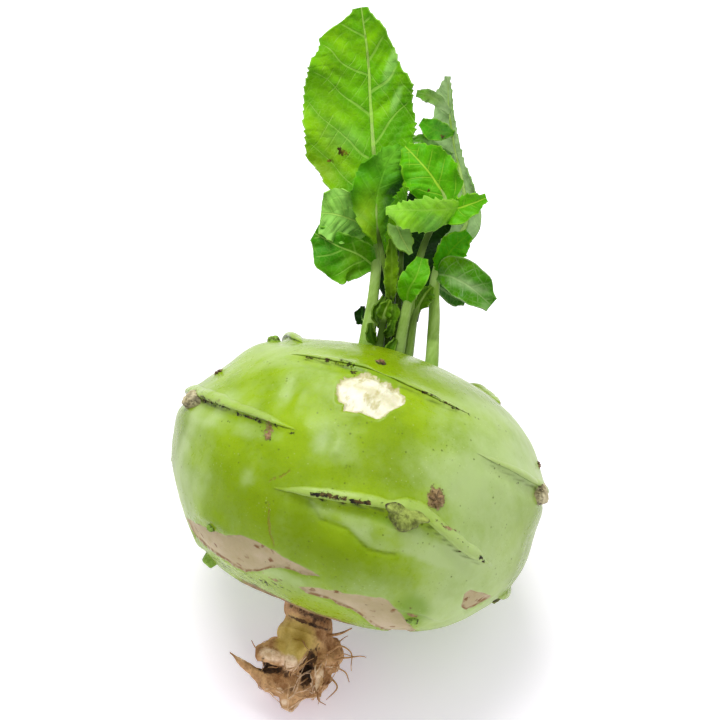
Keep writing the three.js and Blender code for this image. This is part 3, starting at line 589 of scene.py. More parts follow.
def add_tones(lift, fields, height, plain, front):
    """The bloom with painted highlights, the deep green with painted shade at the rims and crown, the fresh
    green and the soil, as on the best side, and behind by noise.
    """
    x, z = plain[..., 0], plain[..., 2]
    for name, spots in (("bloom", BLOOM_AND_HIGHLIGHTS), ("deep", DEEP), ("fresh", FRESH), ("bark", SCABS)):
        fields[name] += tone(plain, spots) * front
    lift += tone(plain, DENTS) * front
    # A pale line down the left side, a painted highlight; the sides and the crown have less bloom and are
    # deeper green, which is painted shade.
    wander = rough(plain, 9, 11)
    fields["bloom"] += 0.35 * front * bell(-x + 0.5 * wander - 55.6, 1.6) * bell(z + 4, 20)
    fields["bloom"] -= front * (0.7 * ramp(x, 52, 58) + 0.5 * ramp(-x, 56, 59) + 0.5 * ramp(z, 36, 42))
    fields["deep"] += front * 0.9 * (ramp(x, 49, 57) + ramp(-x, 53, 58) + ramp(z, 34, 41))
    wavy_z = z + 0.9 * noise(plain, 7, 94)
    for amount, outline in ZONES:
        zone = ramp(inside(x, wavy_z, outline), -0.6, 1.8) * front
        fields["bloom"] += amount * zone * (0.8 + 0.4 * noise(plain, 5, 95))
    crease = bell(off_line(x, wavy_z, CREASE), 0.7) * front
    lift -= CREASE_DEPTH * crease
    # Painted shade along the crease.
    fields["groove"] += 0.5 * crease * ramp(noise(plain, 4, 96), -0.6, 0.4)
    behind = 1 - front
    fields["bloom"] += behind * ramp(rough(plain, 30, 21), -0.15, 0.5)
    fields["deep"] += behind * ramp(rough(plain, 34, 25), 0, 0.5)
    fields["soil"] += 0.55 * ramp(rough(plain, 5, 77), 0.28, 0.6) * (height < -30)
    collar = ramp(-height, COLLAR_FROM, COLLAR_FULL)
    fields["bark"] += 1.2 * collar
    fields["soil"] += collar * ramp(rough(plain, 4, 78), -0.3, 0.3)


def add_marks(lift, fields, plain, front):
    """Lines of soil, cracks, and the torn and the shaved patches, which are on the best side."""
    x, z = plain[..., 0], plain[..., 2]
    for half, amount, line in SOIL_LINES:
        fields["soil"] = np.maximum(fields["soil"], amount * front * bell(off_line(x, z, line), half))
    for line in CRACKS:
        wobbly = off_line(x + 0.6 * noise(plain, 3, 90), z + 0.6 * noise(plain, 3, 91), line)
        fade = ramp(noise(plain, 5, 92), -0.6, 0.4)
        fields["crack"] = np.maximum(fields["crack"], np.maximum(0, 1 - wobbly / 0.7) * front * fade)
    shaved = np.max([inside(x, z, outline) for outline in SHAVED], axis=0)
    higher = np.max([inside(x, z + 1, outline) for outline in SHAVED], axis=0)
    fields["shaved"] = np.where(front > 0.5, shaved, FAR_OUTSIDE)
    fields["lower_rim"] = ramp(higher - fields["shaved"], 0, 0.8)
    fields["torn"] = np.where(front > 0.5, inside(x, z, TORN), FAR_OUTSIDE)
    edge = 0.35 * noise(plain, 2.2, 60)
    lift -= SHAVED_DEPTH * ramp(fields["shaved"] + edge, -0.3, 0.5)
    torn = ramp(fields["torn"] + edge, -0.3, 0.6)
    lift -= torn * (TORN_DEPTH + 0.6 * rough(plain * (1, 1, 0.45), 4, 8))
    lift -= CRACK_DEPTH * np.clip(fields["crack"], 0, 1)


def stem_fields(turn, height, plain):
    """The skin's fine relief in mm, and the values that its colours follow."""
    front = ramp(-plain[..., 1], -4, 6)
    lift = 0.3 * rough(plain, 14, 3) + 0.07 * rough(plain, 3.5, 5)
    fields = {k: np.zeros(turn.shape) for k in TONE_FIELDS}
    add_scars_and_buds(lift, fields, turn, height, plain)
    add_tones(lift, fields, height, plain, front)
    add_marks(lift, fields, plain, front)
    return lift, fields


def make_stem():
    sides, bands = 480, 170
    # The columns stand closer on the best side.
    crowding_deg = 16
    around = np.linspace(-180, 180, sides, endpoint=False)
    turns = around - crowding_deg * np.sin(np.radians(around))
    angles = np.radians(np.linspace(-90, 90, bands + 2)[1:-1])
    limits = np.where(angles > 0, CROWN_HEIGHT, BASE_DEPTH)
    heights = np.sign(angles) * limits * np.abs(np.sin(angles)) ** (2 / SQUARENESS)
    turn, height = np.meshgrid(turns, heights)
    lift, fields = stem_fields(turn, height, stem_point(turn, height))
    work = Patchwork(*STEM_FIELDS)
    points = stem_point(turn, height, lift)
    work.add(points, grid_faces(bands, sides, closed=True), **fields)
    for row, ring in ((0, list(range(sides))), (bands - 1, list(range(sides))[::-1])):
        pole = stem_point(0, -BASE_DEPTH if row == 0 else CROWN_HEIGHT)
        cap = np.vstack([points[row][ring], pole[None]])
        fan = [(sides, (k + 1) % sides, k) for k in range(sides)]
        work.add(cap, fan, **{k: v[row, 0] for k, v in fields.items()})
    for k, scar in enumerate(SCARS):
        if scar["reach"][0] > 20:
            add_lip(work, scar, k)
    work.piece("stem_skin", skin_material(), "stem_skin", ["swollen_stem"])


# A lip's section from its upper foot over its top to the overhang: how far up the stem, how far
# out of it, and how pale.
LIP = [(3.4, -0.5, 0), (2.9, 0.3, 0.3), (2.3, 0.85, 0.8), (1.5, 1.2, 1), (0.7, 1.45, 1), (0.0, 1.55, 1),
       (-0.5, 1.5, 1), (-0.9, 1.25, 0.8), (-1.0, 0.85, 0.2), (-0.7, 0.3, 0), (-0.4, -0.6, 0)]


def add_lip(work, scar, seed):
    """The raised edge of a scar, which hangs over the hollow below it."""
    steps = 150
    share = np.linspace(-0.98, 0.98, steps)
    turn = scar["turn"] + share * np.where(share < 0, *scar["reach"])
    line = stem_point(turn, crest(scar, share))
    size = scar.get("lip", 1) * np.clip(1 - np.abs(share) ** 4, 0.04, 1) * (1 + 0.3 * noise(line, 5, seed))
    size = size * (1 - scar.get("dip", 0) * bell(share - 0.05, 0.16))
    middle = span(crest(scar, share)) - 0.5 * rough(line, 9, 11)
    rows, skin = [], []
    for up, out, _ in LIP:
        here = np.interp(middle + up * size, _spans, _heights)
        lift, fields = stem_fields(turn, here, stem_point(turn, here))
        rows.append(stem_point(turn, here, lift * 0.6 + out * size + 0.12 * noise(line, 1.6, seed + 9)))
        skin.append(fields)
    rows = np.array(rows)
    fields = {k: np.array([f[k] for f in skin]) for k in STEM_FIELDS}
    pale = np.array(LIP)[:, 2:] * ramp(1 - np.abs(share), 0, 0.25) * (1 + 0.3 * noise(rows, 4, seed + 5))
    under = np.array([[up < -0.6 and out < 1] for up, out, _ in LIP], float)
    patchy = ramp(noise(rows, 5, seed + 70), -0.4, 0.5)
    fields["lip"] = pale
    # Painted shade on the lip's underside.
    fields["groove"] = 0.8 * under
    fields["shaved"] = fields["torn"] = FAR_OUTSIDE
    fields["soil"] = 0.9 * fields["soil"] + scar["soil"] * under * patchy * (np.abs(share) < 0.95)
    work.add(rows, grid_faces(len(LIP), steps)[:, ::-1], **fields)


BUD_TONE = 1.0
# A stump with a lower tone than this has no dark marks.
SMOOTH_TONE = -1.2


def make_stumps():
    """The dried petiole ends and the buds, in the hollows of the skin."""
    work = Patchwork("tone", "dark")
    rings, sides = 26, 56
    out_share = np.linspace(0, 1.25, rings)
    angles = np.linspace(0, 2 * math.pi, sides, endpoint=False)
    share, angle = np.meshgrid(out_share, angles, indexing="ij")
    knobs = [(scar["turn"] + scar.get("aside", 0), scar["top"] - scar["stump"][0], *scar["stump"][1:])
             for scar in SCARS if "stump" in scar]
    knobs += [(turn, height, radius * 0.7, radius * 0.75, stands, BUD_TONE)
              for turn, height, radius, _, stands in BUDS if stands]
    for seed, (turn, height, wide, tall, out, tone_of) in enumerate(knobs):
        corners = 0.26 if seed == 0 else 0.12
        wobble = 1 + corners * np.sin(3 * angle + seed) + 0.07 * np.sin(7 * angle + 2 * seed)
        if tone_of == BUD_TONE:
            wobble = wobble + 0.5 * np.abs(np.sin(3.5 * angle + seed)) ** 3 - 0.15
        across = wide * share * wobble * np.cos(angle)
        rise = tall * share * wobble * np.sin(angle)
        here = np.interp(span(height) + rise, _spans, _heights)
        at = turn + np.degrees(across / max(float(meridian(np.float64(height))[0]), 20))
        flat = stem_point(at, here)
        face = out * (1 - 0.4 * share ** 2) + 0.4 * rough(flat, 2.2, seed) + 0.2 * np.sin(9 * angle) * share
        side = ramp(share, 0.7, 1.2)
        lift = face * (1 - side) + (-1.4) * side
        dark = 0.8 * bell(share - 0.86, 0.12) + 0.5 * ramp(-noise(flat, 1.3, seed + 3), 0.1, 0.6)
        dark = dark * (tone_of > SMOOTH_TONE)
        if tone_of == BUD_TONE:
            lift += 0.5 * np.abs(np.sin(2.5 * angle + seed)) * bell(share - 0.5, 0.3)
        work.add(stem_point(at, here, lift), grid_faces(rings, sides, closed=True), tone=tone_of, dark=dark)
    work.piece("stem_stumps", stump_material(), "root_bark")


make_stem()
make_stumps()

# ## Curves

def curve(stations, t):
    """The smooth curve through some points: its point and direction at each share t."""
    p = np.array(stations, float)
    p = np.vstack([2 * p[0] - p[1], p, 2 * p[-1] - p[-2]])
    place = np.clip(t, 0, 1) * (len(stations) - 1)
    i = np.minimum(place.astype(int), len(stations) - 2)
    w = (place - i)[..., None]
    start, end = p[i + 1], p[i + 2]
    leave, arrive = (p[i + 2] - p[i]) / 2, (p[i + 3] - p[i + 1]) / 2
    second = 3 * (end - start) - 2 * leave - arrive
    third = 2 * (start - end) + leave + arrive
    slope = leave + 2 * second * w + 3 * third * w ** 2
    return start + leave * w + second * w ** 2 + third * w ** 3, unit(slope)


def unit(v):
    return v / np.linalg.norm(v, axis=-1, keepdims=True)


def eased(values, along):
    """A value between those listed at even steps along something, eased from one to the next."""
    values = np.array(values, float)
    place = np.clip(along, 0, 1) * (len(values) - 1)
    i = np.minimum(place.astype(int), len(values) - 2)
    return values[i] + (values[i + 1] - values[i]) * ramp(place - i, 0, 1)


def length_of(stations, start=0.0):
    points, _ = curve(stations, np.linspace(start, 1, 200))
    return float(np.linalg.norm(np.diff(points, axis=0), axis=1).sum())


def frame_along(across, tangent, share):
    """Directions across a blade and out of its upper face."""
    first, last = np.array(across, float)
    across = first * (1 - share[..., None]) + last * share[..., None]
    across = unit(across - tangent * (across * tangent).sum(-1, keepdims=True))
    return across, np.cross(across, tangent)


def around_and_along(steps, sides, until=1.0):
    """Shares along a rod and angles round it, for each of its points."""
    turns = np.linspace(0, 2 * np.pi, sides, endpoint=False)
    return np.meshgrid(np.linspace(0, until, steps), turns, indexing="ij")


def ring_points(middle, across, other, radius, angle):
    """Points round a middle, at some angles from one direction towards another."""
    return middle + across * (radius * np.cos(angle))[..., None] + other * (radius * np.sin(angle))[..., None]


# ## Leaves

UPRIGHT = ((1, 0, 0.1), (1, 0, 0.1))
SIDEWAYS = ((0.2, 0, -1), (0.2, 0, -1))
MIRRORED = ((0.2, 0, 1), (0.2, 0, 1))
BLADE_THICKNESS = 0.5
LOBE_RIB = (0.7, 0.5, 0.2)


def leaflet(rib, left, right, roll=(0.8, 0.8), pucker=1, pale=0.0):
    """One of the small crumpled leaves at the crown."""
    return dict(rib=rib, across=UPRIGHT, width=((0.8, left, 1), (0.8, right, 1)), roll=roll,
                pucker=pucker, pale=pale, veins=3, rib_pale=0.1)


# Each leaf: its rib from inside the crown to its tip, the rib's radius at even steps, its main
# blade and its lobes. A blade has the share of the rib it starts at, the direction across it at
# both ends, the widths of its left and right halves at even steps, how much each half rolls up,
# its waves (size, count, phase), the size of its teeth, and how pale it is all over. Tones are
# spots in x and z: where, half width and height, how much, of pale, dark, yellow or bite.
# Dark spots and dark_stalk are painted shade, where leaves fold and overlap and between the petioles deep in
# the crown; a few pale spots are painted highlights.
LEAVES = {}
LEAVES["leaf_tall"] = dict(
    rib=[(-12, 3, 39), (-15.2, 3, 54.5), (-19, 5, 69.8), (-23.6, 9, 84.5), (-30.3, 12, 99.4),
         (-37.7, 13, 115.9), (-44.6, 11, 132), (-52, 6, 146)],
    radii=(2.6, 1.9, 1.6, 1.3, 0.9, 0.4),
    blade=dict(start=0.31, across=((1, 0.1, 0.4), (1, 0.1, 0.35)), roll=(0.3, 0.8), wave=(1.6, 4, 1),
               width=((3, 9, 13, 18.5, 23, 23.4, 22.4, 20.4, 16, 3),
                      (3, 8, 10, 12, 13.8, 15.4, 15, 10.6, 8, 2.6)),
               veins=13, pucker=1.3, teeth=1.2, rib_pale=0.75),
    lobes=[
        dict(rib=[(-19.3, 5, 68.3), (-25.5, 1.5, 70), (-32.7, -1, 70.2), (-41, -1.5, 71.5)], across=MIRRORED,
             width=((2, 9.5, 11.5, 10, 3), (2, 5, 5, 4.5, 3)), teeth=0.4, pucker=1.2, veins=9, pale=-0.75,
             rib_pale=0.45),
        dict(rib=[(-24.5, 6.5, 79.6), (-30.6, 1, 79.8), (-36, -1.6, 79.6), (-41.2, -1.8, 78.4)],
             across=MIRRORED, width=((2, 7, 8.6, 8.6, 7), (2, 6.6, 8.4, 8.6, 6.5)), pale=0.9, teeth=0.5,
             pucker=1.2, veins=5),
    ],
    tones=dict(bite=[(-41, 100.4, 3.4, 2.4, 0.62), (-44.7, 96, 3.4, 2.2, 0.55), (-43, 98, 6.5, 4.6, 0.4)],
               yellow=[(-44, 94, 9, 8, 0.9), (-50, 106, 10, 10, 0.5), (-47, 88, 6, 6, 0.6),
                       (-26, 68, 4, 9, 0.5), (-54, 122, 8, 12, 0.4)],
               pale=[(-41.4, 73.5, 2.6, 2.4, 1.2), (-40, 106, 8, 7, 0.45), (-50, 103, 12, 8, 0.3),
                     (-36.2, 132, 1.8, 8, 1.6), (-31, 122, 1.4, 5, 1.2), (-45, 92, 7, 4, 0.4)],
               dark=[(-26, 112, 5, 14, 0.8), (-30, 128, 4, 10, 0.5), (-38, 122, 4, 10, 0.3),
                     (-34, 90, 5, 4, 0.6), (-30, 88, 4, 9, 0.8), (-34, 68, 10, 6, 0.8),
                     (-27, 76, 3, 6, 0.7)]))
LEAVES["leaf_inner"] = dict(
    rib=[(-7, 8.5, 40), (-10, 5.2, 52), (-12.4, 1, 63), (-18.5, -2.5, 73), (-22.5, -3.9, 80),
         (-25.6, -2.5, 88), (-26.6, -1.5, 95), (-26.2, -1, 102), (-24.4, 0, 107.5)],
    radii=(1.4, 1.1, 0.9, 0.5, 0.3),
    blade=dict(start=0.42, across=((0.9, 0.1, 0.3), (0.9, 0.1, 0)), roll=(0.4, -0.5), wave=(2.6, 3, 0),
               teeth=1.1, width=((2, 7, 9.5, 8.5, 4.6, 1.5), (2, 4, 5.5, 7.5, 7.5, 3)), veins=8,
               pucker=1.3, rib_pale=0.3),
    dark_stalk=0.5,
    tones=dict(pale=[(-27, 102, 7, 6, 0.9)], yellow=[(-24, 72, 5, 7, 0.9), (-28, 82, 4.5, 9, 1.1)],
               dark=[(-21, 91, 6, 4.4, 1.1), (-20.5, 80, 4, 9, 1.1), (-20.5, 99, 2.2, 6, 0.9),
                     (-19, 91, 3, 5, 1.2)]))
LEAVES["leaf_centre"] = dict(
    rib=[(-1.5, -3, 40), (-5.2, -4, 61.5), (-6.4, -4, 76.4), (-6.2, -5, 84.2), (-4.6, -6, 94.6),
         (-10.4, -6, 100.4), (-16.8, -5, 104.4), (-23, -3, 107.6)],
    radii=(1.7, 1.4, 1.1, 0.8, 0.5, 0.3),
    blade=dict(start=0.56, across=((1, 0, 0.5), (0.8, 0, 0.9)), roll=(0.3, 0.4), wave=(1.6, 3, 0),
               width=((2, 8, 9, 8, 6, 2), (2, 8, 9, 8, 5.5, 2)), veins=6, pucker=1.1, rib_pale=0.7, bright=1),
    lobes=[
        dict(rib=[(0.8, -7.5, 95.4), (-3.6, -12, 92.6), (-10.1, -14.5, 89.8), (-16.4, -14.5, 87.6),
                  (-21.6, -12, 85.5)],
             across=MIRRORED, width=((4, 7, 7.4, 6.4, 1.4), (2, 3.4, 4, 3, 1.2)), roll=(-0.5, -0.5),
             teeth=1.3, pale=0.55, veins=4.4, pucker=0.9, rib_pale=0.15),
        dict(rib=[(-4.4, -5.6, 94.2), (-0.4, -9, 94.4), (3.1, -10, 97), (7, -8, 100.6)], across=SIDEWAYS,
             width=((2, 3, 3.5, 1.5), (5, 6, 4, 1.5)), veins=5, pucker=0.8, bright=1),
        dict(rib=[(-5.2, -4, 60.5), (-6.2, -8, 64.5), (-5.4, -10, 69.5), (-5.6, -9, 75.5)], across=UPRIGHT,
             width=((1.5, 3.6, 4.6, 4, 2), (1.5, 3, 3.8, 4, 2)), roll=(-0.4, 0.5), veins=4, teeth=0.3,
             pucker=0.8, rib_pale=0.25, bright=0.6, pale=-0.35),
    ],
    tones=dict(pale=[(-2.4, 71, 2, 5, 0.8)], yellow=[(-9, 98, 8, 7, 0.3)],
               dark=[(-18, 94, 6, 4, 0.6), (-6, 65, 4, 2, 0.5), (-6, 82, 4, 8, 1.2), (-10, 88, 5, 2, 0.6)],
               bite=[(-11.2, 96.5, 0.9, 1.3, 1)]))
LEAVES["leaf_right"] = dict(
    rib=[(10.6, 4, 40), (4.9, 3, 58.5), (0.8, 3, 70.7), (0.8, 5, 81.2), (4.2, 7, 91.1), (-0.4, 9, 102),
         (-7.6, 10, 113.5), (-13.8, 10, 125), (-17.8, 8, 134.8)],
    radii=(1.9, 1.8, 1.5, 1.1, 0.7, 0.3),
    blade=dict(start=0.33, across=((-1, 0.2, 0.2), (-1, 0.5, -0.3)), roll=(-0.5, 0.5), wave=(1, 3, 2),
               width=((2, 5, 5.2, 4, 2.2, 1.8, 1.6, 0.8), (2, 4, 6, 6.4, 7, 7.6, 6.4, 1.4)), veins=7,
               pucker=0.7, rib_pale=0.4),
    lobes=[
        dict(rib=[(0.8, 2.4, 72.8), (5.5, -3, 73.3), (12.1, -5, 72.2), (20.4, -4, 69)], across=SIDEWAYS,
             width=((2, 6.5, 7.4, 6.6, 3), (2, 4, 5.5, 5.2, 2.6)), teeth=0.05, veins=6, gloss=1, pucker=0.8,
             rib_pale=0.25),
        dict(rib=[(1.6, 3.6, 69.4), (6, 8, 68.3), (9.3, 10, 67.8), (12.6, 11, 67.5)], across=SIDEWAYS,
             width=((1.4, 2.6, 3, 1.2), (1.4, 2.8, 3, 1.2)), pale=-1, teeth=0.2, rib_pale=0.2),
        # bright=1.4 and pale=0.2 lighten this lobe, which lies in shade: painted light.
        dict(rib=[(0.8, 2.4, 73.6), (1.6, -1, 78.5), (3.2, -3, 83.4), (6, -4, 88.2)], across=UPRIGHT,
             width=((1.2, 4, 5, 2), (1.2, 4, 4.6, 2)), teeth=0.9, pucker=1, veins=5, rib_pale=0.15,
             bright=1.4, pale=0.2),
        dict(rib=[(-13.3, 9.6, 124), (-18.3, 6, 126), (-21.9, 4, 126.4), (-25.5, 3, 125.8)], across=MIRRORED,
             width=((1, 2.2, 2.6, 1.6), (1, 2, 2, 1)), teeth=0.4, rib_pale=0.1, pucker=0.7, pale=0.4),
        dict(rib=[(-9.9, 9.6, 118), (-13.5, 5, 116.8), (-17, 3, 116.6), (-21, 2, 117.4)], across=MIRRORED,
             width=((1, 3, 4, 1.6), (1, 3, 3.4, 1.4)), teeth=0.2, rib_pale=0.1, bright=1),
        dict(rib=[(-8, 9.4, 111), (-13.5, 5, 111), (-18.5, 3.2, 112.2), (-21.4, 2.8, 110.8)], across=MIRRORED,
             width=((1, 1.8, 1.8, 1), (1, 1.6, 1.8, 1)), teeth=0.2, rib_pale=0.1, pale=0.2, pucker=0.8),
    ],
    # The first three pale spots are a painted highlight on the glossy lobe.
    tones=dict(pale=[(7, 73, 4, 4, 0.6), (14, 72.4, 6, 2.2, 0.8), (19, 68, 3, 2.4, 0.6),
                     (-15, 122, 5, 12, 0.6), (-5, 106, 6, 10, 0.6)],
               yellow=[(2, 82, 6, 5, 0.5), (-20, 126, 4, 2, 0.7)], dark=[(10, 70, 6, 2.5, 0.4)],
               bite=[(-12.6, 115.6, 2.4, 1.4, 0.75), (-7, 112, 2, 1.6, 0.6)]))
LEAVES["leaf_heart"] = dict(
    rib=[(-5.6, 2.6, 40), (-9.4, 0.4, 56.6), (-12, -2.8, 64.3), (-14.3, -4.5, 71.3), (-17.2, -5.5, 78)],
    radii=(1.3, 1.1, 0.8, 0.4),
    blade=dict(start=0.3, across=UPRIGHT, roll=(0.9, 0.9), wave=(1.6, 4, 0), veins=3, pucker=1.2,
               rib_pale=0.2, width=((0.8, 2.2, 2.8, 2.6, 2, 0.8), (0.8, 2.2, 2.6, 2.4, 2, 0.8))),
    dark_stalk=1,
    tones=dict(yellow=[(-13, 68, 8, 8, 0.9)], dark=[(-10, 55, 5, 7, 1.2), (-14, 70, 1.4, 3, 0.8)],
               bite=[(-12, 62, 3, 9, 0.35)]))
LEAVES["leaf_folded"] = dict(
    rib=[(-2.2, 4.6, 40), (-8, 3.5, 60.7), (-11.6, 1, 72.4), (-14.2, -4, 80.4), (-16.6, -7.5, 82.2),
         (-13.8, -9.6, 79.2), (-9.4, -9.8, 75.4)],
    radii=(1.3, 1, 0.7, 0.4),
    blade=dict(start=0.5, across=((1, 0.4, 0), (0.6, 0, 0.8)), roll=(-0.4, -0.4), wave=(1.2, 3, 0), veins=4,
               width=((0.8, 3, 4, 3.4, 0.8), (0.8, 2.8, 3.6, 3.2, 0.8)), pale=0.5, rib_pale=0.2),
    dark_stalk=1.2)
LEAVES["leaf_thin"] = dict(
    rib=[(1.9, 0.5, 40), (-0.6, 0.5, 52), (-1.4, 0, 58.8), (-0.8, -0.5, 64.6), (0.6, -0.6, 68.4)],
    radii=(1.4, 1.2, 1, 0.4),
    blade=dict(start=0.5, across=((1, 0, -0.1), (1, 0, -0.3)), roll=(0.7, 0.7), wave=(1.2, 3, 0), veins=3,
               width=((0.8, 1.8, 2, 0.8), (0.8, 3, 3.4, 1)), teeth=0.6),
    dark_stalk=0.4,
    tones=dict(dark=[(1, 58, 3, 5, 0.5)]))
LEAVES["leaf_bud"] = dict(
    rib=[(-8, -3, 40), (-10.1, -3, 51.2), (-11, -5, 55.2), (-10.7, -6.5, 59.5)],
    radii=(1.6, 1.3, 0.5),
    blade=dict(start=0.45, across=UPRIGHT, roll=(0.8, 0.8), wave=(1.2, 3, 0), veins=3,
               width=((0.8, 2.6, 2.6, 0.8), (0.8, 2.6, 2.4, 0.8)), teeth=0.5, pucker=0.8),
    dark_stalk=0.7,
    lobes=[
        leaflet([(-9.4, -2.4, 47.5), (-7.4, -4, 50), (-7.4, -4.6, 53.6)], 1.8, 1.8, pucker=0.8),
        leaflet([(-10.2, -3, 52), (-7.6, -4.2, 55.4), (-8.8, -4, 58.8)], 2, 1.6, pucker=0.8),
        leaflet([(-9.4, -2, 44), (-12.4, -4, 46.6), (-14.2, -4.4, 50.4)], 2.2, 2.2, (1.2, 0.8), pale=-0.5),
        leaflet([(-8.4, -2.4, 43), (-5.6, -4.6, 44.6), (-4.6, -5, 48.4)], 2, 2.2, (0.8, 1.2), pale=0.2),
        leaflet([(-10.6, -2, 50), (-13.6, -1.6, 54), (-12.6, -1, 60)], 1.8, 2, (1.2, 0.8), pale=-0.8),
    ],
    tones=dict(dark=[(-8, 49, 6, 4, 1.2), (-8, 60, 3, 3, 0.7)], bite=[(-8.4, 54, 4, 5, 0.4)]))
LEAVES["leaf_outer"] = dict(
    rib=[(-13.5, 9, 38), (-15.4, 11, 48.5), (-17.3, 12, 51.2), (-18.4, 12.5, 55)],
    radii=(1.3, 1.1, 0.5),
    blade=dict(start=0.35, across=UPRIGHT, roll=(0.3, 0.3), wave=(1.2, 3, 0), veins=3,
               width=((0.8, 2.4, 2.6, 0.8), (0.8, 2.4, 2.4, 0.8))))
LEAVES["leaf_back"] = dict(
    rib=[(2, 11.5, 39), (-4.3, 14.5, 69.3), (-6.9, 17, 82.4), (-9.5, 18, 95.5), (-15.8, 17, 110.6)],
    radii=(1.9, 1.4, 1, 0.4),
    blade=dict(start=0.13, across=((1, 0, 0.1), (1, 0, 0.3)), roll=(0.4, 0.4), wave=(1.8, 3, 0.5), veins=9,
               width=((9, 16, 15, 12, 9, 6, 1.2), (2, 6, 8, 9, 8, 5, 1.2))))
LEAF_FIELDS = ("across", "veins", "cross", "edge", "under", "stalk", "rib", "pale", "dark", "yellow",
               "bite", "gloss", "bright", "rib_pale")


def blade_points(blade, along, side, seed):
    """Points of a blade from its base (0) to its tip (1) and from margin (-1) to margin (1)."""
    t = np.minimum(blade["start"] + (1 - blade["start"]) * along, 0.999)
    point, tangent = curve(blade["rib"], t)
    across, upward = frame_along(blade["across"], tangent, along)
    left = side < 0
    full = np.where(left, eased(blade["width"][0], along), eased(blade["width"][1], along))
    length = blade["length"]
    distance = along * length
    # The margin's lobes and teeth, which point to the tip.
    lobing = noise(np.stack([distance, np.where(left, 0, 50.0), along * 0 + seed], -1), 7, seed)
    lobing = 0.045 * lobing * np.minimum(full, 14) * ramp(along, 0.02, 0.1)
    margin = np.stack([distance, left * 9.0, along * 0], -1)
    count = distance / 2.7 + 0.6 * noise(margin, 4, seed + 2)
    saw = (count % 1) ** 1.6 * (0.55 + 0.6 * noise(margin, 6, seed + 3))
    full = full + lobing + blade["teeth"] * (saw - 0.3) * ramp(along, 0, 0.06) * (1 - ramp(along, 0.97, 1))
    roll = np.where(left, *blade["roll"])
    share = np.abs(side)
    size, count, phase = blade["wave"]
    out = full / roll * np.sin(roll * share)
    ripple = np.sin(2 * np.pi * count * along + phase + np.where(left, 0, 2))
    lift = full / roll * (1 - np.cos(roll * share)) + size * np.minimum(full / 8, 1) * share ** 2 * ripple
    flat = np.sign(side) * full * share
    # Side veins run out and towards the tip, by turns on the left and the right.
    reach = np.abs(flat)
    veins = (distance - 0.8 * reach - 0.006 * reach ** 2) / blade["veins"] + np.where(left, 0, 0.5)
    veins = veins + 0.16 * noise(np.stack([flat, distance, along * 0], -1), 8, seed + 4)
    between = 0.5 - np.abs(veins % 1 - 0.5)
    bulge = ramp(between, 0, 0.3) * ramp(reach, 0.2, 3) * (1 - 0.5 * share ** 4)
    surface = np.stack([flat, distance, along * 0 + 9 * seed], -1)
    lift = lift + blade["pucker"] * (0.55 * bulge + 0.45 * rough(surface, 6, seed, 3)) * ramp(along, 0, 0.1)
    lift = lift + 0.6 * blade["pucker"] * share ** 3 * noise(surface, 3.6, seed + 6)
    lift = lift + 0.16 * blade["pucker"] * noise(surface, 2.4, seed + 9)
    place = point + across * (np.sign(side) * out)[..., None] + upward * lift[..., None]
    cross = (0.7 * distance + 0.95 * reach) / 4.4 + 0.3 * noise(surface, 5, seed + 8)
    return place, dict(across=flat, veins=veins, cross=cross, edge=full - reach)


BLADE_ROW, BLADE_COLUMN = 0.42, 1.0
PLAIN_BLADE = dict(start=0.0, across=UPRIGHT, roll=(0.3, 0.3), wave=(1.2, 3, 0), teeth=0.8, veins=6,
                   pucker=0.35, pale=0.0, gloss=0.0, rib_pale=0.6, bright=0.0)


def add_blade(work, blade, rib_radii, tones, seed):
    blade = {**PLAIN_BLADE, **blade}
    blade["length"] = length_of(blade["rib"], blade["start"])
    widest = max(blade["width"][0]) + max(blade["width"][1])
    rows = int(blade["length"] / BLADE_ROW) + 12
    columns = 2 * int(widest / BLADE_COLUMN) + 9
    along, side = np.meshgrid(np.linspace(0, 1, rows), np.linspace(-1, 1, columns), indexing="ij")
    middle, fields = blade_points(blade, along, side, seed)
    lengthwise, sideways = np.gradient(middle, axis=0), np.gradient(middle, axis=1)
    normal = unit(np.cross(sideways, lengthwise))
    fields["pale"] = tone(middle, tones.get("pale", ())) + blade["pale"]
    for name in ("dark", "yellow", "bite"):
        fields[name] = tone(middle, tones.get(name, ()))
    fields["dark"] = fields["dark"] + max(-blade["pale"], 0)
    for name in ("gloss", "bright", "rib_pale"):
        fields[name] = blade[name]
    fields["rib"] = eased(rib_radii, blade["start"] + (1 - blade["start"]) * along)
    faces = grid_faces(rows, columns)
    half = BLADE_THICKNESS / 2
    upper, lower = middle + normal * half, middle - normal * half
    work.add(upper, faces, under=0.0, **fields)
    work.add(lower, faces[:, ::-1], under=1.0, **fields)
    loop = [(i, 0) for i in range(rows - 1, 0, -1)] + [(0, j) for j in range(columns - 1)]
    loop += [(i, columns - 1) for i in range(rows - 1)] + [(rows - 1, j) for j in range(columns - 1, 0, -1)]
    rows_at, columns_at = np.array(loop).T
    rim = np.stack([lower[rows_at, columns_at], upper[rows_at, columns_at]])
    strip = {k: np.broadcast_to(v, along.shape)[rows_at, columns_at] for k, v in fields.items()}
    work.add(rim, grid_faces(2, len(loop), closed=True), under=0.0, **strip)


STALK_END = 0.97
STALK_STEP = 0.8


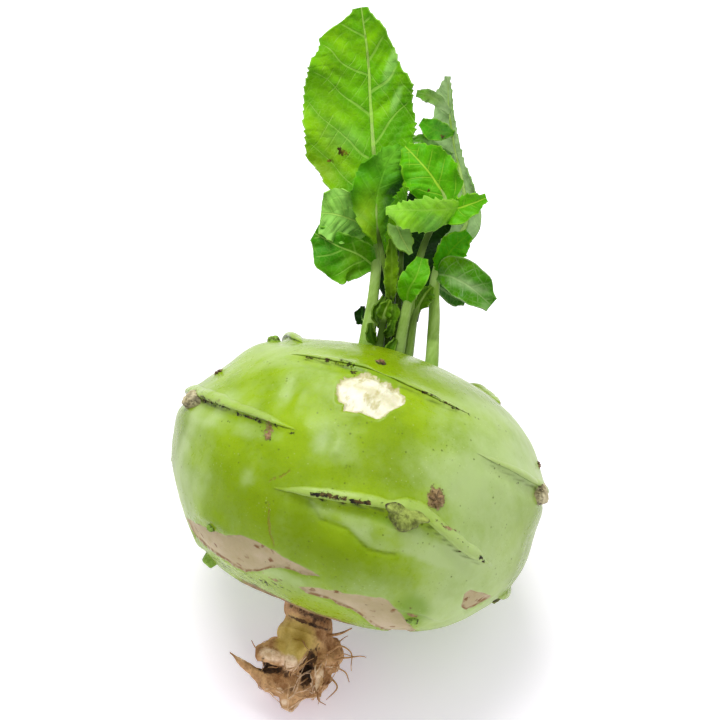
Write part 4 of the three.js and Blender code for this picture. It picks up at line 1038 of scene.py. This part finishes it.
def add_stalk(work, leaf, tones, seed):
    """A petiole, grooved along its upper face, that goes on as the blade's midrib underneath."""
    steps, sides = int(length_of(leaf["rib"]) / STALK_STEP), 28
    t, angle = around_and_along(steps, sides, STALK_END)
    middle, tangent = curve(leaf["rib"], t)
    start = leaf["blade"]["start"]
    sideways, upward = frame_along(leaf["blade"]["across"], tangent, ramp(t, start, 1))
    radius = eased(leaf["radii"], t)
    free = 1 - ramp(t, start, start + 0.12)
    radius = radius * (0.5 + 0.4 * free) + 0.5 * bell(t, 0.12) * free
    shape = radius * (1 - 0.22 * bell(angle - np.pi / 2, 0.5) * free + 0.025 * np.sin(9 * angle + 5 * t))
    middle = middle - upward * (0.55 * radius * (1 - free))[..., None]
    place = ring_points(middle, sideways, upward, shape, angle)
    place = place + 0.12 * noise(place * (1, 1, 0.3), 3, seed)[..., None] * unit(place - middle)
    # Painted shade: dark_stalk darkens the free petiole, and the base of a thin petiole deep in the crown is
    # darker still.
    dark = leaf.get("dark_stalk", 0) * (0.8 + 0.5 * noise(place, 4, seed)) * free
    dark = dark + 0.7 * bell(t, 0.12) * (radius < 2)
    work.add(place, grid_faces(steps, sides, closed=True), stalk=1.0, edge=9.0, across=angle * 3, rib=0.0,
             veins=t * 8, dark=dark + tone(place, tones.get("dark", ())),
             pale=0.2 * rough(place * (1, 1, 0.2), 4, seed))


def make_leaf(name, material, slot, seed):
    leaf = LEAVES[name]
    work = Patchwork(*LEAF_FIELDS)
    tones = leaf.get("tones", {})
    add_stalk(work, leaf, tones, seed)
    add_blade(work, dict(leaf["blade"], rib=leaf["rib"]), leaf["radii"], tones, seed)
    for k, lobe in enumerate(leaf.get("lobes", ())):
        add_blade(work, lobe, LOBE_RIB, tones, seed + 20 * k + 7)
    work.piece(name.replace("leaf_", "") + "_leaf", material, slot, [name])


def leaf_material(name, light, mid, dark, pale, vein, under_share=0.75):
    """A blade with pale veins, a paler bloomy underside, and a petiole, which differ in colour."""
    n = Nodes(name)
    fine = n.noise(380, 4, 0.65)
    colour = n.mix(n.step(n.noise(70), 0.36, 0.66), mid, light)
    colour = n.mix(n.step(n.noise(150), 0.5, 0.75) * 0.5, colour, dark)
    # The dark field is painted shade.
    colour = n.mix((n.field("dark") * 0.8).clamped(), colour, dark)
    colour = n.mix((n.field("yellow") * 0.8).clamped(), colour, (122, 164, 14))
    bloom = n.field("pale") + n.field("under") * under_share + (n.noise(110, 5) - 0.5) * 0.9
    bloom = n.step(bloom, 0.25, 1.1)
    colour = n.mix(bloom * 0.85, colour, pale)
    colour = n.mix((n.field("bright") * 0.75).clamped(), colour, (72, 164, 0))
    # Veins: the midrib, the side veins, the cross veins and the net between them. Side veins and
    # cross veins stand at a half of every step.
    blade_only = 1 - n.field("stalk")
    rib_pale = n.field("rib_pale")
    off_rib = abs(n.field("across"))
    rib = 1 - n.step(off_rib / (n.field("rib") * 0.5 + 0.06), 0.75, 1.25)
    off_vein = abs(n.math("FRACT", n.field("veins")) - 0.5)
    vein_width = n.step(off_rib, 14, 0) * 0.035 + 0.02
    side_vein = (1 - n.step(off_vein / vein_width, 0.5, 1.2)) * n.step(n.field("edge"), 0.4, 3)
    side_vein = side_vein * (rib_pale * 0.5 + 0.12)
    shade = n.step(off_vein, 0.3, 0.06) * blade_only * (rib_pale * 0.8 + 0.1).clamped()
    colour = n.mix(shade * 0.55, colour, dark)
    off_cross = abs(n.math("FRACT", n.field("cross")) - 0.5)
    cross = n.step(off_cross, 0.07, 0.02) * n.step(n.noise(110, 3), 0.42, 0.58) * (rib_pale * 0.4 + 0.1)
    net = n.step(n.cells(480, "DISTANCE_TO_EDGE"), 0.1, 0.0) * 0.12
    lines = (rib * rib_pale * 1.5).clamped().either(side_vein).either(cross.either(net)) * blade_only
    vein = n.mix((n.field("bright") * 0.8).clamped(), vein, (158, 206, 30))
    colour = n.mix(lines * 0.85, colour, vein)
    margin = n.step(n.field("edge"), 0.5, 0.1) * blade_only
    colour = n.mix(margin * 0.3, colour, vein)
    # Brown marks where insects bit.
    bite = n.step(n.field("bite") + (n.noise(420, 4, 0.7) - 0.5) * 2.6, 0.75, 0.95)
    colour = n.mix(bite, colour, n.mix(n.step(fine, 0.4, 0.6), (60, 52, 10), (120, 106, 26)))
    # The petiole, with fine stripes along it, darkened by the dark field as painted shade.
    stripes = n.step(n.noise(300, stretch=(1, 0.25, 0.2)), 0.35, 0.65)
    stalk = n.mix(stripes, (136, 172, 68), (170, 202, 112))
    stalk = n.mix((n.field("dark") * 0.8).clamped(), stalk, (52, 76, 12))
    colour = n.mix(n.field("stalk"), colour, stalk)
    relief = fine * 0.5 - lines * 0.8 + n.noise(170, 3) * 1.6
    roughness = (n.field("gloss") * -0.2 + 0.46 + bloom * 0.12).clamped()
    n.set({"Specular IOR Level": 0.12})
    return n.finish(colour, roughness, relief, 0.45, 0.8)


def make_leaves():
    green = leaf_material("leaf_green", (134, 202, 0), (106, 182, 0), (60, 136, 0), (150, 206, 98),
                          (172, 216, 96))
    blue = leaf_material("leaf_blue_green", (76, 156, 0), (56, 132, 0), (26, 82, 0),
                         (116, 190, 44), (110, 176, 40))
    reverse = leaf_material("leaf_reverse", (84, 150, 8), (64, 130, 2), (36, 90, 0), (162, 192, 132),
                            (176, 202, 134), 1.0)
    young = leaf_material("leaf_young", (98, 146, 10), (74, 124, 4), (28, 58, 2), (140, 184, 92),
                          (130, 166, 50))
    # The leaves deep behind the others are painted in the near-black greens of shade: painted shade.
    shaded = leaf_material("leaf_shaded", (24, 64, 2), (16, 48, 0), (6, 24, 0), (40, 84, 14),
                           (40, 84, 14))
    kinds = {
        "leaf_tall": (green, "leaf_upper"), "leaf_centre": (green, "leaf_upper"),
        "leaf_inner": (blue, "leaf_blue_green"), "leaf_right": (reverse, "leaf_underside"),
        "leaf_heart": (young, "leaf_young"), "leaf_folded": (young, "leaf_young"),
        "leaf_thin": (young, "leaf_young"), "leaf_bud": (young, "leaf_young"),
        "leaf_outer": (shaded, "leaf_dark"), "leaf_back": (shaded, "leaf_dark"),
    }
    for seed, (name, (material, slot)) in enumerate(kinds.items()):
        make_leaf(name, material, slot, seed + 1)


make_leaves()


# ## The root

def tube(stations, radii, steps, sides, seed, wobble=0.0):
    """A closed round rod along a curve: its rings and its end points."""
    t, angle = around_and_along(steps, sides)
    middle, tangent = curve(stations, t)
    across, other = frame_along(((1, 0.2, 0), (1, 0.2, 0)), tangent, t)
    if wobble:
        middle = middle + wobble * np.stack([noise(middle, 4, seed + k) for k in range(3)], -1)
    radius = eased(radii, t) * (1 + 0.1 * noise(middle, 3, seed))
    return ring_points(middle, across, other, radius, angle)


def capped(rings):
    """The points and faces of a tube with a fan over each end."""
    steps, sides, _ = rings.shape
    points = np.vstack([rings.reshape(-1, 3), rings[0].mean(0)[None], rings[-1].mean(0)[None]])
    start, end, last = steps * sides, steps * sides + 1, (steps - 1) * sides
    faces = grid_faces(steps, sides, closed=True).tolist()
    faces += [[start, (k + 1) % sides, k] for k in range(sides)]
    faces += [[end, last + k, last + (k + 1) % sides] for k in range(sides)]
    return points, faces


# Each thick part of the root: its course and its radii.
ROOT_RODS = [
    ([(-2, 0, -38), (-1.6, 0, -41), (0.3, 0.5, -47), (0.4, 0, -53), (0, -4, -58.2), (-0.2, -7.5, -63)],
     (8.4, 7.6, 7.6, 8.2, 5.2, 1.8)),
    ([(0, 0, -57), (-5.2, -3, -59.2), (-9.4, -4, -60.8), (-12.5, -4, -62.2)], (4.4, 4.2, 3)),
    ([(3.6, 2, -67.5), (-4.4, 0, -68.6), (-12.5, -2, -67.2), (-20.8, -3, -64.4)], (6, 4.4, 2, 0.6)),
    ([(1.9, 2, -63.8), (2.6, 1, -69.5), (3.2, 2, -75.4)], (6.5, 5, 2.6)),
    ([(6, -2, -55), (8, -6.5, -60), (10, -7, -66.5)], (3, 2.2, 1.6)),
    ([(6, 5, -62), (8, 10, -67), (8, 14.6, -71)], (5, 3.4, 2.4)),
    ([(-3, 5, -62), (-5, 11, -68.5), (-5, 16, -73.4)], (5, 3.4, 2.4)),
    ([(-1, -4, -57), (-5.6, -6, -59.6), (-10.6, -6.4, -61.2)], (2.6, 2.2, 1.9)),
    ([(0, -6, -54), (-0.8, -8, -59), (-2.4, -8.6, -63.4)], (3.4, 2.8, 0.9)),
]
ROOT_LUMPS = [((7.6, 3, -56), 7.5), ((7.6, 3.5, -63.5), 6.5), ((0, 5, -64), 7.5), ((-5, 3, -61), 6)]
ROOT_FIBRES = [
    [(5, -1, -50), (10.2, -4, -46.9), (14, -5, -43.6)],
    [(9, -3, -54), (12.1, -5, -50.5), (15.8, -5, -51.4), (18.7, -4, -56.9)],
    [(9, -3, -57), (14.8, -4, -53.4), (18, -4, -52), (21.2, -3, -51.4)],
    [(10, -2, -60), (16.2, -5, -63.2), (13.8, -6, -68)],
    [(9, -3, -62), (11.1, -6, -68), (14.4, -6, -69.5)],
    [(10, 0, -58), (16.4, 0, -58.2), (19.1, 0, -60.6)],
    [(6, 4, -50), (11, 9, -51), (14, 13, -48)],
    [(-6, 5, -60), (-12, 10, -62), (-15, 13, -60)],
]
# The root's colours on its best side: x, z, half width and height, and how much.
ROOT_PALE = [(-1.2, -60.8, 2.4, 3.4, 1.4), (-8, -60.2, 4.4, 2.4, 1.4), (9.6, -63, 1.8, 5, 1.2),
             (-1, -70.7, 1.6, 1.2, 1.2), (1.6, -74, 1.8, 1.4, 1.0), (-17, -65, 5, 1.2, 0.7)]
ROOT_OLIVE = [(-2.4, -51.8, 7.5, 5.6, 1.5), (-1.8, -56.4, 4.4, 3.2, 1.1)]
ROOT_DARK = [(-2, -43.8, 10, 2.6, 0.85), (0, -46.9, 9, 0.6, 1.1), (6, -44, 5, 3, 0.5),
             (-8, -65, 6, 1.8, 1.3), (4.8, -58.5, 2.4, 4.5, 1.2), (5.9, -64.4, 1.4, 1.8, 1.2),
             (-9.8, -57.8, 4, 1.8, 0.7), (12, -51, 5, 4, 0.4)]


def lump(centre, radius, seed):
    rings, sides = 24, 40
    rise, turn = np.meshgrid(np.linspace(-np.pi / 2, np.pi / 2, rings + 2)[1:-1],
                             np.linspace(0, 2 * np.pi, sides, endpoint=False), indexing="ij")
    out = np.stack([np.cos(rise) * np.cos(turn), np.cos(rise) * np.sin(turn), np.sin(rise)], -1)
    uneven = radius * (1 + 0.14 * noise(out * radius + seed * 30, 4, seed))
    return np.array(centre) + out * uneven[..., None]


def neighbours_mean(points, edges):
    """The middle of the points that each point shares an edge with."""
    total, count = np.zeros_like(points), np.zeros(len(points))
    for a, b in ((0, 1), (1, 0)):
        np.add.at(total, edges[:, a], points[edges[:, b]])
        np.add.at(count, edges[:, a], 1)
    return total / count[:, None]


def grown_together(solids, grain):
    """One skin round some closed solids, with faces of a size: its points, faces and edges."""
    mesh = bpy.data.meshes.new("root_parts")
    points, faces = [], []
    for solid_points, solid_faces in solids:
        faces += [[i + len(points) for i in face] for face in solid_faces]
        points += solid_points.tolist()
    mesh.from_pydata(points, [], faces)
    holder = bpy.data.objects.new("root_parts", mesh)
    bpy.context.scene.collection.objects.link(holder)
    remesh = holder.modifiers.new("remesh", "REMESH")
    remesh.mode, remesh.voxel_size = "VOXEL", grain
    skin = holder.evaluated_get(bpy.context.evaluated_depsgraph_get()).to_mesh()
    skin_points = np.array([v.co[:] for v in skin.vertices])
    skin_faces = [list(p.vertices) for p in skin.polygons]
    edges = np.array([e.vertices[:] for e in skin.edges])
    holder.to_mesh_clear()
    bpy.data.objects.remove(holder)
    bpy.data.meshes.remove(mesh)
    return skin_points, skin_faces, edges


def point_normals(points, faces):
    corners = np.array(faces)
    across = points[corners[:, 2]] - points[corners[:, 0]]
    other = points[corners[:, 3]] - points[corners[:, 1]]
    flat = np.cross(across, other)
    total = np.zeros_like(points)
    for k in range(4):
        np.add.at(total, corners[:, k], flat)
    return unit(total + 1e-12)


ROOT_GRAIN = 0.42
STRANDS, HAIRS = 90, 70


def make_root():
    solids = [capped(tube(stations, radii, 40, 28, k)) for k, (stations, radii) in enumerate(ROOT_RODS)]
    solids += [capped(lump(centre, radius, k)) for k, (centre, radius) in enumerate(ROOT_LUMPS)]
    points, faces, edges = grown_together(solids, ROOT_GRAIN)
    for _ in range(6):
        points = points * 0.5 + neighbours_mean(points, edges) * 0.5
    normal = point_normals(points, faces)
    front = ramp(-points[:, 1], -6, 2)
    fibrous = ramp(points[:, 0], 2, 8)
    stretched = points * (1, 1, 0.35)
    lift = 1.0 * rough(points, 5, 1) + 0.5 * rough(stretched, 1.6, 5)
    lift += fibrous * (1.1 * rough(points * (1, 1, 0.5), 2.0, 8) - 0.3)
    spots = {"pale": ROOT_PALE, "olive": ROOT_OLIVE, "dark": ROOT_DARK}
    fields = {k: tone(points, v) * front for k, v in spots.items()}
    fields["dark"] = fields["dark"] + 0.3 * ramp(-points[:, 2], 58, 63)
    lift -= 0.9 * fields["dark"] * (points[:, 2] < -50)
    bumpy = points + normal * lift[:, None]
    hollow = ((neighbours_mean(bumpy, edges) - bumpy) * normal).sum(1)
    for _ in range(3):
        bumpy = bumpy * 0.7 + neighbours_mean(bumpy, edges) * 0.3
    fields["hollow"] = np.clip(hollow * 6, -1, 1) - 1.2 * rough(points, 5, 1)
    work = Patchwork("pale", "olive", "dark", "hollow")
    work.add(bumpy, faces, **fields)
    for k, stations in enumerate(ROOT_FIBRES):
        thick = 0.8 if k == 0 else 0.45
        rings, ends = capped(tube(stations, (thick, thick * 0.6, thick * 0.3), 40, 10, k, 0.5))
        work.add(rings, ends, dark=0.2)
    random = np.random.default_rng(7)
    # Strands that run down over the surface, most of them on the right side.
    fibrous_places = np.flatnonzero((points[:, 1] < 2) & (points[:, 2] < -54) & (points[:, 0] > -9))
    for k in range(STRANDS):
        at = random.choice(fibrous_places)
        if points[at, 0] < 3 and k % 3:
            continue
        heading = np.array([random.uniform(-1, 1), -0.4, -1.6])
        stations = [bumpy[at]]
        for _ in range(5):
            heading = heading + random.normal(0, 0.45, 3)
            at = np.argmin(((bumpy - stations[-1] - heading) ** 2).sum(1))
            stations.append(bumpy[at] + normal[at] * random.uniform(0.05, 0.4))
        thick = random.uniform(0.14, 0.34)
        rings, ends = capped(tube(stations, (thick, thick, thick * 0.5), 30, 6, k + 30, 0.3))
        work.add(rings, ends, pale=random.uniform(0, 1.1), dark=random.uniform(0, 0.5))
    for k in range(HAIRS):
        base = bumpy[random.integers(len(bumpy))]
        if base[2] > -46 or (base[0] < 3 and k % 4):
            continue
        away = unit(np.array([random.uniform(-0.3, 1), random.uniform(-1, 0.2), random.uniform(-0.6, 0.6)]))
        stations = [base - away]
        for _ in range(4):
            away = unit(away + random.normal(0, 0.55, 3))
            stations.append(stations[-1] + away * random.uniform(1.0, 2.2))
        rings, ends = capped(tube(stations, (0.28, 0.2, 0.1), 16, 5, k, 0.3))
        work.add(rings, ends, dark=0.1, pale=0.3 * (k % 3 == 0))
    work.piece("root_stock", root_material(), "root_bark", ["root"])


def root_material():
    n = Nodes("root_bark")
    grain = n.noise(260, 5, 0.7, (1, 1, 0.5))
    fine = n.noise(700, 5, 0.7)
    stir = (grain - 0.5) * 2.2
    colour = n.mix(n.step(grain, 0.32, 0.68), (146, 100, 54), (222, 178, 124))
    olive = n.step(n.field("olive") + stir * 0.6, 0.25, 1.1)
    olive_colour = n.mix(n.step(n.noise(120), 0.35, 0.65), (176, 148, 50), (222, 198, 106))
    colour = n.mix(olive * 0.9, colour, olive_colour)
    pale = n.step(n.field("pale") + stir * 0.5, 0.4, 0.95)
    colour = n.mix(pale, colour, n.mix(n.step(fine, 0.35, 0.6), (214, 178, 136), (244, 218, 184)))
    dark = n.step(n.field("dark") + n.field("hollow") * 0.6 + stir, 0.6, 1.05)
    colour = n.mix(dark, colour, n.mix(n.step(fine, 0.4, 0.6), (58, 40, 22), (104, 72, 42)))
    return n.finish(colour, 0.82, grain * 0.7 + fine * 0.5, 0.6, 1.0)


make_root()


# ## Stage

def stage_material():
    """A white table that is lit a little from below, as for a picture on white. Its colour and its glow are
    tinted a little pink and violet, painted light that offsets the green light the plant throws on it.
    """
    n = Nodes("table_top")
    n.set({"Emission Color": (0.85, 0.8, 1, 1), "Emission Strength": 0.3})
    return n.finish(n.mix(n.noise(30, 2), (0.94, 0.91, 0.945, 1), (0.96, 0.93, 0.965, 1)), 0.9)


floor_mesh = bpy.data.meshes.new("floor")
floor_mesh.from_pydata([(-4, -4, 0), (4, -4, 0), (4, 4, 0), (-4, 4, 0)], [], [(0, 1, 2, 3)])
floor_mesh.materials.append(stage_material())
floor = bpy.data.objects.new("floor", floor_mesh)
bpy.context.scene.collection.objects.link(floor)


LAMP_AIM = Vector((0, 0, 0.06))


def softbox(name, direction, distance, size, power):
    """A square lamp that looks at the plant from a direction given as right, up and towards us."""
    heading = right * direction[0] + up * direction[1] + back * direction[2]
    spot = LAMP_AIM + heading.normalized() * distance
    lamp = bpy.data.lights.new(name, "AREA")
    lamp.shape, lamp.size, lamp.energy = "SQUARE", size, power
    holder = bpy.data.objects.new(name, lamp)
    holder.location = spot
    holder.rotation_mode = "QUATERNION"
    holder.rotation_quaternion = (spot - LAMP_AIM).to_track_quat("Z", "Y")
    bpy.context.scene.collection.objects.link(holder)


softbox("key", (-0.12, 0.85, 0.55), 1.3, 0.7, 12.5)
softbox("fill", (0.9, 0.2, 0.7), 1.8, 1.2, 1.5)

surroundings = bpy.data.worlds.new("studio")
surroundings.use_nodes = True
sky = surroundings.node_tree
place = sky.nodes.new("ShaderNodeTexCoord")
height_of = sky.nodes.new("ShaderNodeSeparateXYZ")
rise = sky.nodes.new("ShaderNodeMapRange")
# The room is darker towards the horizon.
ends = {"From Min": 0.0, "From Max": 0.8, "To Min": 0.2, "To Max": 0.8}
for socket_name, end in ends.items():
    rise.inputs[socket_name].default_value = end
sky.links.new(place.outputs["Generated"], height_of.inputs[0])
sky.links.new(height_of.outputs["Z"], rise.inputs["Value"])
sky.links.new(rise.outputs[0], sky.nodes["Background"].inputs["Strength"])
sky.nodes["Background"].inputs["Color"].default_value = (1, 1, 1, 1)
bpy.context.scene.world = surroundings
bpy.context.scene.view_settings.view_transform = "Standard"
bpy.context.scene.view_settings.look = "None"
